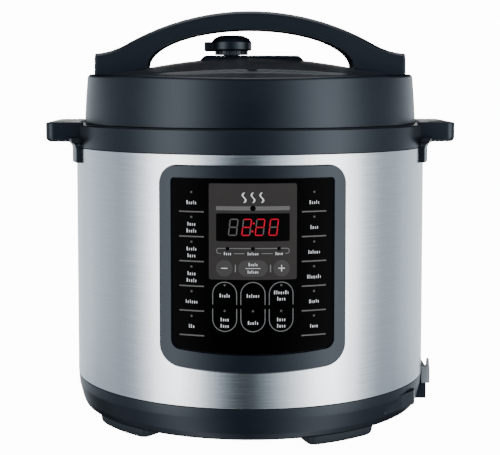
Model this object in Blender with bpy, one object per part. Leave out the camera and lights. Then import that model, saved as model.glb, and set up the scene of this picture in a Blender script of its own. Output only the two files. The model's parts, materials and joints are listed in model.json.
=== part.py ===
"""Electric pressure cooker, 6 litre class, with its lid on.

Frame: metres, +Z up, front (control panel) towards -Y, origin on the table under the middle of the
pot. Lengths below are millimetres and become metres where a mesh is made. An azimuth is an angle
round the pot's axis, 0 at the front and growing towards +X.
"""
import math

import bmesh
import bpy
from mathutils import Vector, geometry

MM = 0.001
GAP = 0.3                       # clearance kept between pieces that touch

# ---------------------------------------------------------------- driving dimensions
SEGMENTS = 48                   # sides of every large round casing piece, 7.5 degrees each
INNER_SEGMENTS = 36             # sides of the round pieces inside

STEEL_R = 135.0                 # brushed steel casing
STEEL_WALL = 0.8
STEEL_Z = (31.3, 207.2)

BASE_TOP_Z = 31.0
BASE_RING_Z = (9.0, 12.5)       # flat ledge that carries the bottom cover
BASE_RING_R = 92.0
BASE_WALL_R = 131.4

COVER_R = 101.5                 # steel plate that closes the base
COVER_Z = (7.6, 8.6)
STANDOFF_Z = 14.7
SCREW_AZIMUTHS = (80.0, -100.0)
SCREW_AT_R = 96.8

FOOT_AZIMUTHS = {"front_left": -52.0, "front_right": 33.0, "rear_right": 128.0, "rear_left": -147.0}
FOOT_SPAN = 30.0                # degrees
FOOT_TOP_Z = 8.7

COLLAR_R = 135.6
COLLAR_Z = (207.5, 225.0)
COLLAR_BORE_R = 119.2
EAR_REACH = 156.4               # half of the overall width
EAR_HALF_DEPTH = 43.5
EAR_CORNER = 7.0
EAR_TOP_Z = 226.3
EAR_BOTTOM_Z = 211.6
TAB_HALF_SPAN = 19.0            # degrees
TAB_BOTTOM_Z = 195.8

OUTER_POT_R = 116.5
OUTER_POT_WALL = 1.3
OUTER_POT_Z = (36.0, 230.8)
FLANGE_R = 121.2                # outer pot's flange between its lugs
LUG_R = 124.4
HEATER_R = 95.0
HEATER_Z = (38.0, 49.8)

INNER_POT_R = 112.0
INNER_POT_WALL = 1.4
INNER_POT_Z = (50.2, 232.5)
INNER_FLANGE_R = 117.5

LID_R = 129.4                   # plastic lid cover at its bottom edge
LID_BOTTOM_Z = 225.4
SHOULDER_Z = 260.2
DOME_TOP_Z = 275.5
DOME_R = 411.0                  # radius of the sphere that the dome is cut from
LID_WALL = 2.2
STEEL_LID_R = 126.4
LID_LUG_R = 121.8
LUG_PITCH = 60.0                # six lugs

HANDLE_TOP_Z = 311.6
HANDLE_ARC_R = 192.0            # outer curve of the arch
HANDLE_HALF_LENGTH = 120.3
HANDLE_HALF_DEPTH = 22.0
ARCH_HALF_SPAN = 79.8           # the hand opening is half an ellipse
ARCH_FOOT_Z = 268.0
ARCH_RISE = 29.1

VALVE_X = -14.6                 # steam valve's axis
FLOAT_X = 16.0                  # float valve's axis
POD_X = (-40.0, 42.5)
POD_HALF_DEPTH = 16.0
POD_TOP_Z = 277.3

PANEL_R = 136.3                 # front of the key carrier, where widths on the panel are measured
BEZEL_OUTER = {"half_width": 68.6, "low": 57.6, "high": 200.3, "corner": 12.0}
BEZEL_INNER = {"half_width": 59.35, "low": 70.5, "high": 191.4, "corner": 4.5}
KEY_TRAVEL = 0.4
KEY_GAP = 0.4
BOARD_FRONT_Y = -119.0

SOCKET_Y = (0.0, 28.0)          # mains inlet, on the right-hand side of the base
SOCKET_Z = (9.6, 28.4)
INLET_FACE_X = 140.3
CUP_Y = (135.4, 142.2)          # condensate cup at the back
CUP_HALF_WIDTH = 30.0
CUP_Z = (165.0, 207.0)


# ---------------------------------------------------------------- materials
def material(name, colour, roughness, metallic=0.0):
    made = bpy.data.materials.new(name)
    made.use_nodes = True
    shader = made.node_tree.nodes["Principled BSDF"]
    shader.inputs["Base Color"].default_value = (*colour, 1.0)
    shader.inputs["Roughness"].default_value = roughness
    shader.inputs["Metallic"].default_value = metallic
    return made


def make_materials():
    return {
        "dark_plastic": material("dark_plastic", (0.045, 0.060, 0.078), 0.38),
        "black_plastic": material("black_plastic", (0.012, 0.014, 0.017), 0.45),
        "gloss_black": material("gloss_black", (0.004, 0.004, 0.005), 0.08),
        "key_plastic": material("key_plastic", (0.05, 0.05, 0.055), 0.50),
        "brushed_steel": material("brushed_steel", (0.62, 0.63, 0.65), 0.32, 1.0),
        "polished_steel": material("polished_steel", (0.70, 0.70, 0.70), 0.18, 1.0),
        "zinc_steel": material("zinc_steel", (0.50, 0.52, 0.54), 0.42, 1.0),
        "cast_aluminium": material("cast_aluminium", (0.55, 0.56, 0.57), 0.45, 1.0),
        "silicone": material("silicone", (0.72, 0.72, 0.70), 0.60),
        "clear_grey": material("clear_grey", (0.45, 0.48, 0.50), 0.25),
        "circuit_board": material("circuit_board", (0.03, 0.16, 0.07), 0.45),
        "foot_rubber": material("foot_rubber", (0.02, 0.025, 0.03), 0.80),
        "spring_steel": material("spring_steel", (0.48, 0.48, 0.50), 0.30, 1.0),
        "lead_sleeve": material("lead_sleeve", (0.60, 0.52, 0.30), 0.70),
    }


# ---------------------------------------------------------------- mesh tools
def add_object(name, points, faces, finish, origin=(0.0, 0.0, 0.0), sharp=35.0):
    """A closed mesh from points in millimetres, with the object's origin at one place in them."""
    start = Vector(origin)
    bm = bmesh.new()
    corners = [bm.verts.new((Vector(p) - start) * MM) for p in points]
    for face in faces:
        bm.faces.new([corners[i] for i in face])
    bmesh.ops.recalc_face_normals(bm, faces=bm.faces)
    mesh = bpy.data.meshes.new(name)
    bm.to_mesh(mesh)
    bm.free()
    mesh.shade_smooth()
    mesh.set_sharp_from_angle(angle=math.radians(sharp))
    mesh.materials.append(finish)
    made = bpy.data.objects.new(name, mesh)
    made.location = start * MM
    bpy.context.scene.collection.objects.link(made)
    return made


def cutter(name, points, faces):
    made = add_object(name, points, faces, TOOL_FINISH)
    made.hide_render = True
    made.display_type = "WIRE"
    return made


def combine(target, tool, operation):
    step = target.modifiers.new(f"{operation.lower()}_{tool.name}", "BOOLEAN")
    step.operation = operation
    step.object = tool
    step.solver = "EXACT"


def polar(radius, azimuth, z):
    angle = math.radians(azimuth)
    return (radius * math.sin(angle), -radius * math.cos(angle), z)


def turned(profile, segments=SEGMENTS, centre=(0.0, 0.0), radius_at=None, along=None):
    """Points and faces of a closed profile of (radius, z) turned round a vertical axis.

    radius_at(radius, z, azimuth) may change a radius on the way round. along(x, y, z) may lay the
    finished shape over another axis.
    """
    points, rings = [], []
    for radius, z in profile:
        if radius == 0.0:
            rings.append([len(points)] * segments)
            points.append((centre[0], centre[1], z))
            continue
        ring = []
        for k in range(segments):
            azimuth = 360.0 * k / segments
            r = radius_at(radius, z, azimuth) if radius_at else radius
            x, y, _ = polar(r, azimuth, z)
            ring.append(len(points))
            points.append((x + centre[0], y + centre[1], z))
        rings.append(ring)
    faces = []
    for i, ring in enumerate(rings):
        above = rings[(i + 1) % len(rings)]
        for k in range(segments):
            m = (k + 1) % segments
            corners = [ring[k], ring[m], above[m], above[k]]
            kept = [c for n, c in enumerate(corners) if c != corners[n - 1]]
            if len(kept) >= 3:
                faces.append(kept)
    if along:
        points = [along(*p) for p in points]
    return points, faces


def layered(layers, origin=(0.0, 0.0)):
    """Points and faces of a stack of outlines: each layer is (outline, z) with the same corners."""
    points, faces = [], []
    count = len(layers[0][0])
    for outline, z in layers:
        points += [(x + origin[0], y + origin[1], z) for x, y in outline]
    for i in range(len(layers) - 1):
        low, high = i * count, (i + 1) * count
        for k in range(count):
            m = (k + 1) % count
            faces.append([low + k, low + m, high + m, high + k])
    faces.append(list(range(count)))
    faces.append([(len(layers) - 1) * count + k for k in range(count)])
    return points, faces


def box(x, y, z):
    outline = [(x[0], y[0]), (x[1], y[0]), (x[1], y[1]), (x[0], y[1])]
    return layered([(outline, z[0]), (outline, z[1])])


def rod(centre, radius, z, segments=16):
    return turned([(0.0, z[1]), (radius, z[1]), (radius, z[0]), (0.0, z[0])], segments, centre)


def rounded_rectangle(half_width, low, high, corner, corner_steps=4, edge_steps=1, middle=0.0):
    """Corners of a rounded rectangle, counterclockwise, its level edges cut into edge_steps."""
    points = []
    centres = [(half_width - corner, low + corner, -90.0), (half_width - corner, high - corner, 0.0),
               (corner - half_width, high - corner, 90.0), (corner - half_width, low + corner, 180.0)]
    for n, (cx, cy, start) in enumerate(centres):
        for k in range(corner_steps + 1):
            angle = math.radians(start + 90.0 * k / corner_steps)
            points.append((middle + cx + corner * math.cos(angle), cy + corner * math.sin(angle)))
        if n in (1, 3):
            x, y = points[-1]
            span = 2.0 * (half_width - corner) * (-1.0 if n == 1 else 1.0)
            points += [(x + span * k / edge_steps, y) for k in range(1, edge_steps)]
    return points


def circle(centre, radius, count=12):
    return [(centre[0] + radius * math.cos(math.tau * k / count),
             centre[1] + radius * math.sin(math.tau * k / count)) for k in range(count)]


def inside(point, outline):
    hit = False
    for (x0, y0), (x1, y1) in zip(outline, outline[1:] + outline[:1]):
        if (y0 > point[1]) != (y1 > point[1]):
            if point[0] < x0 + (point[1] - y0) * (x1 - x0) / (y1 - y0):
                hit = not hit
    return hit


def relief(outline, features, back, front, place, columns=()):
    """A plate whose front is at one level, with raised or sunk areas and holes.

    Each feature is (outline, level), and a level of None is a hole. place(u, v, level) puts a point
    of the plate in space. The plate bends only at its columns, which are values of u.
    """
    flat, edges = [], []
    for loop in [outline] + [f[0] for f in features]:
        first = len(flat)
        flat += [Vector(p) for p in loop]
        edges += [(first + k, first + (k + 1) % len(loop)) for k in range(len(loop))]
    low, high = min(p[1] for p in outline), max(p[1] for p in outline)
    for u in columns:
        edges.append((len(flat), len(flat) + 1))
        flat += [Vector((u, low - 1.0)), Vector((u, high + 1.0))]
    flat, _, cells = geometry.delaunay_2d_cdt(flat, edges, [], 0, 1e-5)[:3]

    index, points, faces, sides = {}, [], [], {}

    def corner(i, level):
        if (i, level) not in index:
            index[i, level] = len(points)
            points.append(place(flat[i][0], flat[i][1], level))
        return index[i, level]

    for cell in cells:
        middle = sum((flat[i] for i in cell), Vector((0.0, 0.0))) / len(cell)
        if not inside(middle, outline):
            continue
        level = front
        for loop, at in features:
            if inside(middle, loop):
                level = at
        if level is None:
            continue
        faces.append([corner(i, level) for i in cell])
        faces.append([corner(i, back) for i in reversed(cell)])
        for k, i in enumerate(cell):
            sides.setdefault(frozenset((i, cell[k - 1])), []).append(level)
    for pair, levels in sides.items():
        i, j = sorted(pair)
        upper, lower = levels[0], levels[1] if len(levels) == 2 else back
        if upper != lower:
            faces.append([corner(i, upper), corner(j, upper), corner(j, lower), corner(i, lower)])
    return points, faces


def swept(path, radius, sides=8):
    """Points and faces of a round wire that follows a list of points."""
    path = [Vector(p) for p in path]
    points, faces = [], []
    side = Vector((0.0, 0.0, 1.0)).cross(path[1] - path[0])
    side = side.normalized() if side.length > 1e-6 else Vector((1.0, 0.0, 0.0))
    for i, p in enumerate(path):
        ahead = (path[min(i + 1, len(path) - 1)] - path[max(i - 1, 0)]).normalized()
        side = (side - ahead * side.dot(ahead)).normalized()
        other = ahead.cross(side)
        for k in range(sides):
            angle = math.tau * k / sides
            points.append(tuple(p + radius * (side * math.cos(angle) + other * math.sin(angle))))
    for i in range(len(path) - 1):
        for k in range(sides):
            m = (k + 1) % sides
            faces.append([i * sides + k, i * sides + m, (i + 1) * sides + m, (i + 1) * sides + k])
    faces.append(list(range(sides)))
    faces.append([(len(path) - 1) * sides + k for k in range(sides)])
    return points, faces


def on_panel(u, v, radius):
    """A place on the curved panel: u along the arc, v its height, at a radius from the pot's axis."""
    return polar(radius, math.degrees(u / PANEL_R), v)


def panel_columns(low, high, step=11.0):
    """Bend lines, about 4.6 degrees apart, between two places along the arc."""
    first, last = math.ceil((low + 0.5) / step), math.floor((high - 0.5) / step)
    return [step * k for k in range(first, last + 1)]


def dome_z(radius):
    return DOME_TOP_Z - DOME_R + math.sqrt(DOME_R ** 2 - radius ** 2)


# ---------------------------------------------------------------- base
def make_base(finish):
    outer = [(134.7, BASE_TOP_Z), (134.2, 23.0), (133.1, 18.7), (131.3, 14.7), (129.3, 10.2),
             (127.6, BASE_RING_Z[0])]
    bottom = [(BASE_RING_R, BASE_RING_Z[0]), (BASE_RING_R, BASE_RING_Z[1]), (124.5, BASE_RING_Z[1])]
    inner = [(BASE_WALL_R - 2.0, 19.0), (BASE_WALL_R, 25.0), (BASE_WALL_R, 38.0), (133.9, 38.0),
             (133.9, BASE_TOP_Z)]
    base = add_object("base_housing", *turned(outer + bottom + inner), finish["dark_plastic"])

    lug = [polar(128.0, 46.0, 0)[:2], polar(133.4, 46.5, 0)[:2], polar(136.0, 55.0, 0)[:2],
           polar(140.0, 62.5, 0)[:2], polar(139.0, 64.5, 0)[:2], polar(130.0, 66.0, 0)[:2]]
    combine(base, cutter("base_lug", *layered([(lug, 15.0), (lug, 25.5)])), "UNION")
    notch = box((125.6, 145.0), (-7.9, 31.4), (8.0, 30.7))
    combine(base, cutter("inlet_notch", *notch), "DIFFERENCE")
    shelf = box((125.6, 145.0), (-11.4, -7.7), (8.0, 17.5))
    combine(base, cutter("shelf_notch", *shelf), "DIFFERENCE")
    well = box((110.0, 128.0), (SOCKET_Y[0] - GAP, SOCKET_Y[1] + GAP), (8.0, 29.0))
    combine(base, cutter("socket_well", *well), "DIFFERENCE")
    for n, azimuth in enumerate(SCREW_AZIMUTHS):
        hole = rod(polar(SCREW_AT_R, azimuth, 0)[:2], 1.9, (8.0, 14.0), 10)
        combine(base, cutter(f"base_screw_hole_{n + 1}", *hole), "DIFFERENCE")

    for place, azimuth in FOOT_AZIMUTHS.items():
        make_foot(f"foot_{place}", azimuth, finish["foot_rubber"])


def make_foot(name, azimuth, finish):
    steps = 6

    def lobe(outer, inner, span):
        ring = [azimuth - span / 2 + span * k / steps for k in range(steps + 1)]
        return ([polar(outer, a, 0)[:2] for a in ring]
                + [polar(inner, a, 0)[:2] for a in reversed(ring)])

    layers = [(lobe(121.0, 108.0, FOOT_SPAN - 3.0), 0.0), (lobe(126.3, 106.5, FOOT_SPAN - 0.5), 4.0),
              (lobe(128.0, 106.0, FOOT_SPAN), FOOT_TOP_Z)]
    add_object(name, *layered(layers), finish)


def make_bottom_cover(finish):
    disc = circle((0.0, 0.0), COVER_R, SEGMENTS)
    features = []
    for azimuth in SCREW_AZIMUTHS:
        features.append((circle(polar(SCREW_AT_R, azimuth, 0)[:2], 2.2, 10), None))
    for x in (-52.0, 52.0):
        for y in (-68.0, -27.0):
            features.append((circle((x, y), 3.0, 8), STANDOFF_Z))
    for x in range(-24, 25, 12):
        for low, high in ((12.0, 42.0), (50.0, 80.0)):
            features.append((rounded_rectangle(2.0, low, high, 1.9, 2, 1, x), None))
    shape = relief(disc, features, COVER_Z[0], COVER_Z[1], lambda u, v, level: (u, v, level))
    add_object("base_cover", *shape, finish["zinc_steel"])
    for n, azimuth in enumerate(SCREW_AZIMUTHS):
        x, y, _ = polar(SCREW_AT_R, azimuth, 0)
        profile = [(0.0, 12.3), (1.5, 12.3), (1.5, 7.3), (3.8, 7.3), (3.4, 5.6), (0.0, 5.3)]
        add_object(f"base_screw_{n + 1}", *turned(profile, 12, (x, y)), finish["zinc_steel"],
                   origin=(x, y, 7.3))


# ---------------------------------------------------------------- mains inlet and its holder
def make_inlet(finish):
    main = box((126.0, INLET_FACE_X), (-7.5, 31.0), (5.0, 30.4))
    housing = add_object("inlet_housing", *main, finish["dark_plastic"])
    shelf = box((126.5, INLET_FACE_X - 0.4), (-11.0, -5.0), (5.5, 17.2))
    combine(housing, cutter("inlet_shelf", *shelf), "UNION")
    pocket = box((120.0, 145.0), (SOCKET_Y[0] - GAP, SOCKET_Y[1] + GAP),
                 (SOCKET_Z[0] - GAP, SOCKET_Z[1] + GAP))
    combine(housing, cutter("inlet_pocket", *pocket), "DIFFERENCE")

    socket = add_object("inlet_socket", *box((112.0, 139.9), SOCKET_Y, SOCKET_Z),
                        finish["black_plastic"])
    middle_y, middle_z = sum(SOCKET_Y) / 2, sum(SOCKET_Z) / 2
    mouth = box((123.0, 141.0), (middle_y - 12.0, middle_y + 12.0), (middle_z - 8.0, middle_z + 8.0))
    combine(socket, cutter("inlet_mouth", *mouth), "DIFFERENCE")
    for n, (dy, dz) in enumerate(((-7.0, -1.5), (7.0, -1.5), (0.0, 2.5))):
        pin = box((121.0, 134.0), (middle_y + dy - 1.0, middle_y + dy + 1.0),
                  (middle_z + dz - 2.0, middle_z + dz + 2.0))
        combine(socket, cutter(f"inlet_pin_{n + 1}", *pin), "UNION")

    clip = [(134.9, -10.4), (142.9, -10.4), (142.9, -1.0), (140.7, -1.0), (140.7, -7.9),
            (134.9, -7.9)]
    holder = add_object("spoon_holder", *layered([(clip, 17.5), (clip, 30.5)]), finish["clear_grey"],
                        origin=(140.7, -8.0, 17.5))
    tip = [(-10.0, 20.0), (-1.4, 20.0), (-1.4, 32.0), (-3.5, 36.0), (-5.7, 36.8), (-7.9, 36.0),
           (-10.0, 32.0)]
    points = [(x, y, z) for x in (141.0, 142.6) for y, z in tip]
    count = len(tip)
    faces = [[k, (k + 1) % count, count + (k + 1) % count, count + k] for k in range(count)]
    faces += [list(range(count)), list(range(count, 2 * count))]
    combine(holder, cutter("holder_tip", points, faces), "UNION")


# ---------------------------------------------------------------- casing and collar
def make_casing(finish):
    inner = STEEL_R - STEEL_WALL
    tube = [(STEEL_R, STEEL_Z[1]), (STEEL_R, STEEL_Z[0]), (inner, STEEL_Z[0]), (inner, STEEL_Z[1])]
    casing = add_object("outer_shell", *turned(tube), finish["brushed_steel"])
    window = rounded_rectangle(63.3, 66.8, 195.2, 8.0, 3)
    hole = relief(window, [], 125.0, 142.0, on_panel, panel_columns(-63.3, 63.3))
    combine(casing, cutter("panel_window", *hole), "DIFFERENCE")


def ear_outline(side, reach, half_depth):
    """The plan of a carrying ear: an arc inside the collar's wall, then out to round corners."""
    root = [polar(133.5, 90.0 + a, 0)[:2] for a in (19.0, 13.0, 6.0, 0.0, -6.0, -13.0, -19.0)]
    corner, steps = EAR_CORNER, 4
    outer = []
    for start, y in ((-90.0, corner - half_depth), (0.0, half_depth - corner)):
        for k in range(steps + 1):
            angle = math.radians(start + 90.0 * k / steps)
            outer.append((reach - corner + corner * math.cos(angle), y + corner * math.sin(angle)))
    return [(side * x, y) for x, y in root + outer]


def make_collar(finish):
    low, top = COLLAR_Z
    profile = [(COLLAR_R, top - 0.6), (COLLAR_R, low), (133.8, low), (133.8, 200.0), (131.4, 200.0),
               (131.4, 222.0), (121.2, 222.0), (121.2, 214.0), (COLLAR_BORE_R, 214.0),
               (COLLAR_BORE_R, top), (COLLAR_R - 0.6, top)]
    collar = add_object("top_collar", *turned(profile), finish["dark_plastic"])
    for side, word in ((-1.0, "left"), (1.0, "right")):
        layers = [(ear_outline(side, EAR_REACH - 1.5, EAR_HALF_DEPTH - 1.0), EAR_BOTTOM_Z),
                  (ear_outline(side, EAR_REACH, EAR_HALF_DEPTH), EAR_BOTTOM_Z + 2.0),
                  (ear_outline(side, EAR_REACH, EAR_HALF_DEPTH), EAR_TOP_Z - 1.0),
                  (ear_outline(side, EAR_REACH - 1.0, EAR_HALF_DEPTH - 1.0), EAR_TOP_Z)]
        combine(collar, cutter(f"ear_{word}", *layered(layers)), "UNION")
        ring = [90.0 * side + TAB_HALF_SPAN * k / 3 for k in range(-3, 4)]
        tab = ([polar(139.2, a, 0)[:2] for a in ring]
               + [polar(135.4, a, 0)[:2] for a in reversed(ring)])
        layers = [(tab, TAB_BOTTOM_Z), (tab, EAR_BOTTOM_Z + 4.0)]
        combine(collar, cutter(f"ear_tab_{word}", *layered(layers)), "UNION")
    space = turned([(STEEL_R + 0.4, 207.5), (STEEL_R + 0.4, 180.0), (110.0, 180.0),
                    (110.0, 207.5)])
    clearance = cutter("steel_clearance", *space)
    for side in (-1.0, 1.0):
        rail = sorted((side * (CUP_HALF_WIDTH + GAP), side * (CUP_HALF_WIDTH + 3.3)))
        shape = box(rail, (131.6, 139.0), (186.0, 209.5))
        word = "left" if side < 0 else "right"
        rail_tool = cutter(f"cup_rail_{word}", *shape)
        combine(rail_tool, clearance, "DIFFERENCE")
        combine(collar, rail_tool, "UNION")


def make_condensate_cup(finish):
    (back, front), (low, top), half, wall = CUP_Y, CUP_Z, CUP_HALF_WIDTH, 1.2
    outer = rounded_rectangle(half, back, front, 1.5, 2)
    hollow = rounded_rectangle(half - wall, back + wall, front - wall, 0.8, 2)
    cup = add_object("condensate_cup", *layered([(outer, low), (outer, top)]), finish["clear_grey"],
                     origin=(0.0, back, low))
    combine(cup, cutter("cup_hollow", *layered([(hollow, low + wall), (hollow, top + 5.0)])),
            "DIFFERENCE")


# ---------------------------------------------------------------- pots, heater and sensor
def lug_share(azimuth, centre):
    """1 on a bayonet lug, 0 between lugs, with a ramp of one segment at each end of the lug."""
    away = abs((azimuth - centre + LUG_PITCH / 2) % LUG_PITCH - LUG_PITCH / 2)
    return min(1.0, max(0.0, (LUG_PITCH / 4 - away) * SEGMENTS / 360.0))


def make_pots(finish):
    r, wall, (low, top) = OUTER_POT_R, OUTER_POT_WALL, OUTER_POT_Z
    profile = [(16.0, low), (r - 5.5, low), (r, low + 5.5), (r, top - 2.0), (FLANGE_R, top - 2.0),
               (FLANGE_R, top), (r - wall, top), (r - wall, low + 6.0), (r - 6.0, low + wall),
               (16.0, low + wall)]

    def with_lugs(radius, z, azimuth):
        if radius != FLANGE_R:
            return radius
        return FLANGE_R + (LUG_R - FLANGE_R) * lug_share(azimuth, 0.0)

    add_object("outer_pot", *turned(profile, radius_at=with_lugs), finish["polished_steel"])

    r, wall, (low, top) = INNER_POT_R, INNER_POT_WALL, INNER_POT_Z
    profile = [(0.0, low), (r - 8.0, low), (r - 2.4, low + 2.4), (r, low + 8.0), (r, top - 1.2),
               (INNER_FLANGE_R, top - 1.2), (INNER_FLANGE_R, top), (r - wall, top),
               (r - wall, low + 8.4), (r - 3.4, low + 3.4), (r - 8.4, low + wall), (0.0, low + wall)]
    add_object("inner_pot", *turned(profile, INNER_SEGMENTS), finish["polished_steel"])

    low, top = HEATER_Z
    profile = [(14.0, low), (HEATER_R - 3.0, low), (HEATER_R, low + 3.0), (HEATER_R, top - 2.0),
               (HEATER_R - 3.0, top), (14.0, top)]
    add_object("heating_plate", *turned(profile, INNER_SEGMENTS), finish["cast_aluminium"])


def make_sensor(finish):
    puck = [(0.0, 49.9), (9.5, 49.9), (10.5, 49.2), (10.5, 44.0), (4.0, 44.0), (4.0, 22.0),
            (0.0, 22.0)]
    add_object("temperature_sensor", *turned(puck, 24), finish["cast_aluminium"],
               origin=(0.0, 0.0, 44.0))
    strap = [(-30.0, 35.6), (-30.0, 26.0), (30.0, 26.0), (30.0, 35.6), (28.8, 35.6), (28.8, 27.2),
             (-28.8, 27.2), (-28.8, 35.6)]
    points = [(x, y, z) for y in (-8.0, 8.0) for x, z in strap]
    count = len(strap)
    faces = [[k, (k + 1) % count, count + (k + 1) % count, count + k] for k in range(count)]
    faces += [list(range(count)), list(range(count, 2 * count))]
    bracket = add_object("sensor_bracket", points, faces, finish["zinc_steel"])
    combine(bracket, cutter("sensor_bore", *rod((0.0, 0.0), 5.0, (20.0, 30.0))), "DIFFERENCE")

    turns, per_turn, low, high = 4, 9, 28.5, 42.7
    coil = []
    for k in range(turns * per_turn + 1):
        share = k / (turns * per_turn)
        x, y, _ = polar(7.2, 360.0 * turns * share, 0)
        coil.append((x, y, low + (high - low) * share))
    add_object("sensor_spring", *swept(coil, 0.8, 5), finish["spring_steel"])


# ---------------------------------------------------------------- electrics inside the base
def make_base_electrics(finish):
    outline = [(-60.0, -74.0), (60.0, -74.0), (60.0, -20.0), (-60.0, -20.0)]
    parts = [((-34.0, -52.0), (11.0, 9.0), 28.5), ((-4.0, -50.0), (8.0, 12.0), 29.5),
             ((22.0, -56.0), (6.0, 6.0), 31.0), ((43.0, -46.0), (7.0, 9.0), 26.0),
             ((-38.0, -30.0), (12.0, 4.0), 22.0), ((14.0, -32.0), (10.0, 5.0), 21.0)]
    features = []
    for (x, y), (half_x, half_y), top in parts:
        features.append(([(x - half_x, y - half_y), (x + half_x, y - half_y),
                          (x + half_x, y + half_y), (x - half_x, y + half_y)], top))
    board = relief(outline, features, 15.0, 16.6, lambda u, v, level: (u, v, level))
    add_object("power_board", *board, finish["circuit_board"])

    plan = [(-14.0, 44.0), (14.0, 44.0), (14.0, 60.0), (-14.0, 60.0)]
    arm = [(-4.0, 49.0), (4.0, 49.0), (4.0, 55.0), (-4.0, 55.0)]
    switch = relief(plan, [(arm, 35.6)], 24.0, 32.0, lambda u, v, level: (u, v, level))
    add_object("pressure_switch", *switch, finish["black_plastic"])

    fuse = [(0.0, 15.0), (1.0, 15.0), (1.0, 11.0), (3.4, 10.0), (3.4, -10.0), (1.0, -11.0),
            (1.0, -15.0), (0.0, -15.0)]
    shape = turned(fuse, 12, along=lambda x, y, z: (z - 52.0, y + 20.0, x + 31.5))
    add_object("thermal_fuse", *shape, finish["polished_steel"])

    route = [(111.6, 14.0, 19.0), (106.0, 13.0, 19.2), (99.0, 9.0, 19.6), (92.0, 2.0, 20.0),
             (86.0, -7.0, 20.2), (80.0, -17.0, 20.2), (73.0, -27.0, 20.2), (66.0, -35.0, 20.3),
             (59.0, -40.5, 20.6), (51.8, -43.0, 20.8)]
    add_object("mains_lead", *swept(route, 2.4, 8), finish["lead_sleeve"])


# ---------------------------------------------------------------- control panel
def key_layout():
    """Name, middle along the arc, middle height, half width, half height and corner of each key."""
    keys = []
    side_names = ("first", "second", "third", "fourth", "fifth", "sixth")
    for side, word in ((-1.0, "left"), (1.0, "right")):
        for n, rank in enumerate(side_names):
            keys.append((f"key_{word}_{rank}", side * 42.8, 176.8 - 17.2 * n, 9.2, 6.8, 2.0))
    for row, z in (("upper", 112.3), ("lower", 93.5)):
        for place, u in (("left", -19.4), ("middle", 0.0), ("right", 19.4)):
            keys.append((f"key_{row}_{place}", u, z, 8.2, 7.6, 4.0))
    keys.append(("key_minus", -19.6, 129.6, 5.7, 5.7, 5.6))
    keys.append(("key_plus", 19.6, 129.6, 5.7, 5.7, 5.6))
    keys.append(("key_hours_minutes", 0.0, 129.6, 10.0, 5.6, 5.5))
    return keys


def key_outline(key, grow):
    _, u, z, half_width, half_height, corner = key
    return rounded_rectangle(half_width + grow, z - half_height - grow, z + half_height + grow,
                             corner + grow, 1, 1, u)


def bezel_outline(share):
    """Outline of the bezel between its outer edge, at 0, and its inner edge, at 1."""
    size = {k: BEZEL_OUTER[k] + (BEZEL_INNER[k] - BEZEL_OUTER[k]) * share for k in BEZEL_OUTER}
    return rounded_rectangle(size["half_width"], size["low"], size["high"], size["corner"], 4, 12)


def make_panel(finish):
    section = [(0.0, 135.3), (0.0, 136.9), (0.16, 138.4), (0.82, 138.4), (1.0, 137.4),
               (1.0, 136.8), (0.68, 136.8), (0.68, 135.3)]
    points, count = [], len(bezel_outline(0.0))
    for share, radius in section:
        points += [on_panel(u, v, radius) for u, v in bezel_outline(share)]
    faces = []
    for i in range(len(section)):
        low, high = i * count, (i + 1) % len(section) * count
        faces += [[low + k, low + (k + 1) % count, high + (k + 1) % count, high + k]
                  for k in range(count)]
    add_object("panel_bezel", points, faces, finish["dark_plastic"])

    edge = 0.3
    lens = rounded_rectangle(BEZEL_INNER["half_width"] - edge, BEZEL_INNER["low"] + edge,
                             BEZEL_INNER["high"] - edge, BEZEL_INNER["corner"] - edge)
    film = relief(lens, [], 136.65, 137.15, on_panel, panel_columns(-59.0, 59.0))
    add_object("panel_film", *film, finish["gloss_black"])

    keys = key_layout()
    rim = rounded_rectangle(67.5, 62.0, 199.0, 6.0, 3)
    raised = rounded_rectangle(61.8, 68.3, 193.7, 8.0, 3)
    window = rounded_rectangle(25.4, 148.3, 167.7, 1.0, 1)
    features = [(raised, 136.3), (window, None)]
    features += [(key_outline(key, KEY_GAP), None) for key in keys]
    carrier = relief(rim, features, 131.6, 133.9, on_panel, panel_columns(-67.5, 67.5))
    add_object("panel_carrier", *carrier, finish["black_plastic"])

    for key in keys:
        make_key(key, finish["key_plastic"])

    screen = box((-24.0, 24.0), (-133.6, BOARD_FRONT_Y - 0.4), (149.0, 167.0))
    add_object("display_module", *screen, finish["gloss_black"])
    outline = [(-52.0, 76.0), (52.0, 76.0), (52.0, 188.0), (-52.0, 188.0)]
    features = []
    for key in keys:
        u, z = key[1], key[2]
        x = PANEL_R * math.sin(u / PANEL_R)
        features.append(([(x - 3.0, z - 3.0), (x + 3.0, z - 3.0), (x + 3.0, z + 3.0),
                          (x - 3.0, z + 3.0)], BOARD_FRONT_Y - 1.4))
    board = relief(outline, features, BOARD_FRONT_Y + 1.4, BOARD_FRONT_Y,
                   lambda u, v, level: (u, level, v))
    add_object("control_board", *board, finish["circuit_board"])


def make_key(key, finish):
    """A key cap behind the film, with a stem that ends just in front of its switch."""
    name, u, z = key[0], key[1], key[2]
    tip_y = BOARD_FRONT_Y - 1.4 - KEY_TRAVEL - 0.5
    tip = -tip_y / math.cos((abs(u) + 2.0) / PANEL_R)
    stem = [(u - 2.0, z - 2.0), (u + 2.0, z - 2.0), (u + 2.0, z + 2.0), (u - 2.0, z + 2.0)]
    columns = [u - key[3] / 3.0, u + key[3] / 3.0]
    shape = relief(key_outline(key, 0.0), [(stem, tip)], 136.2, 134.2, on_panel, columns)
    add_object(name, *shape, finish, origin=on_panel(u, z, 136.2))


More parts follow.
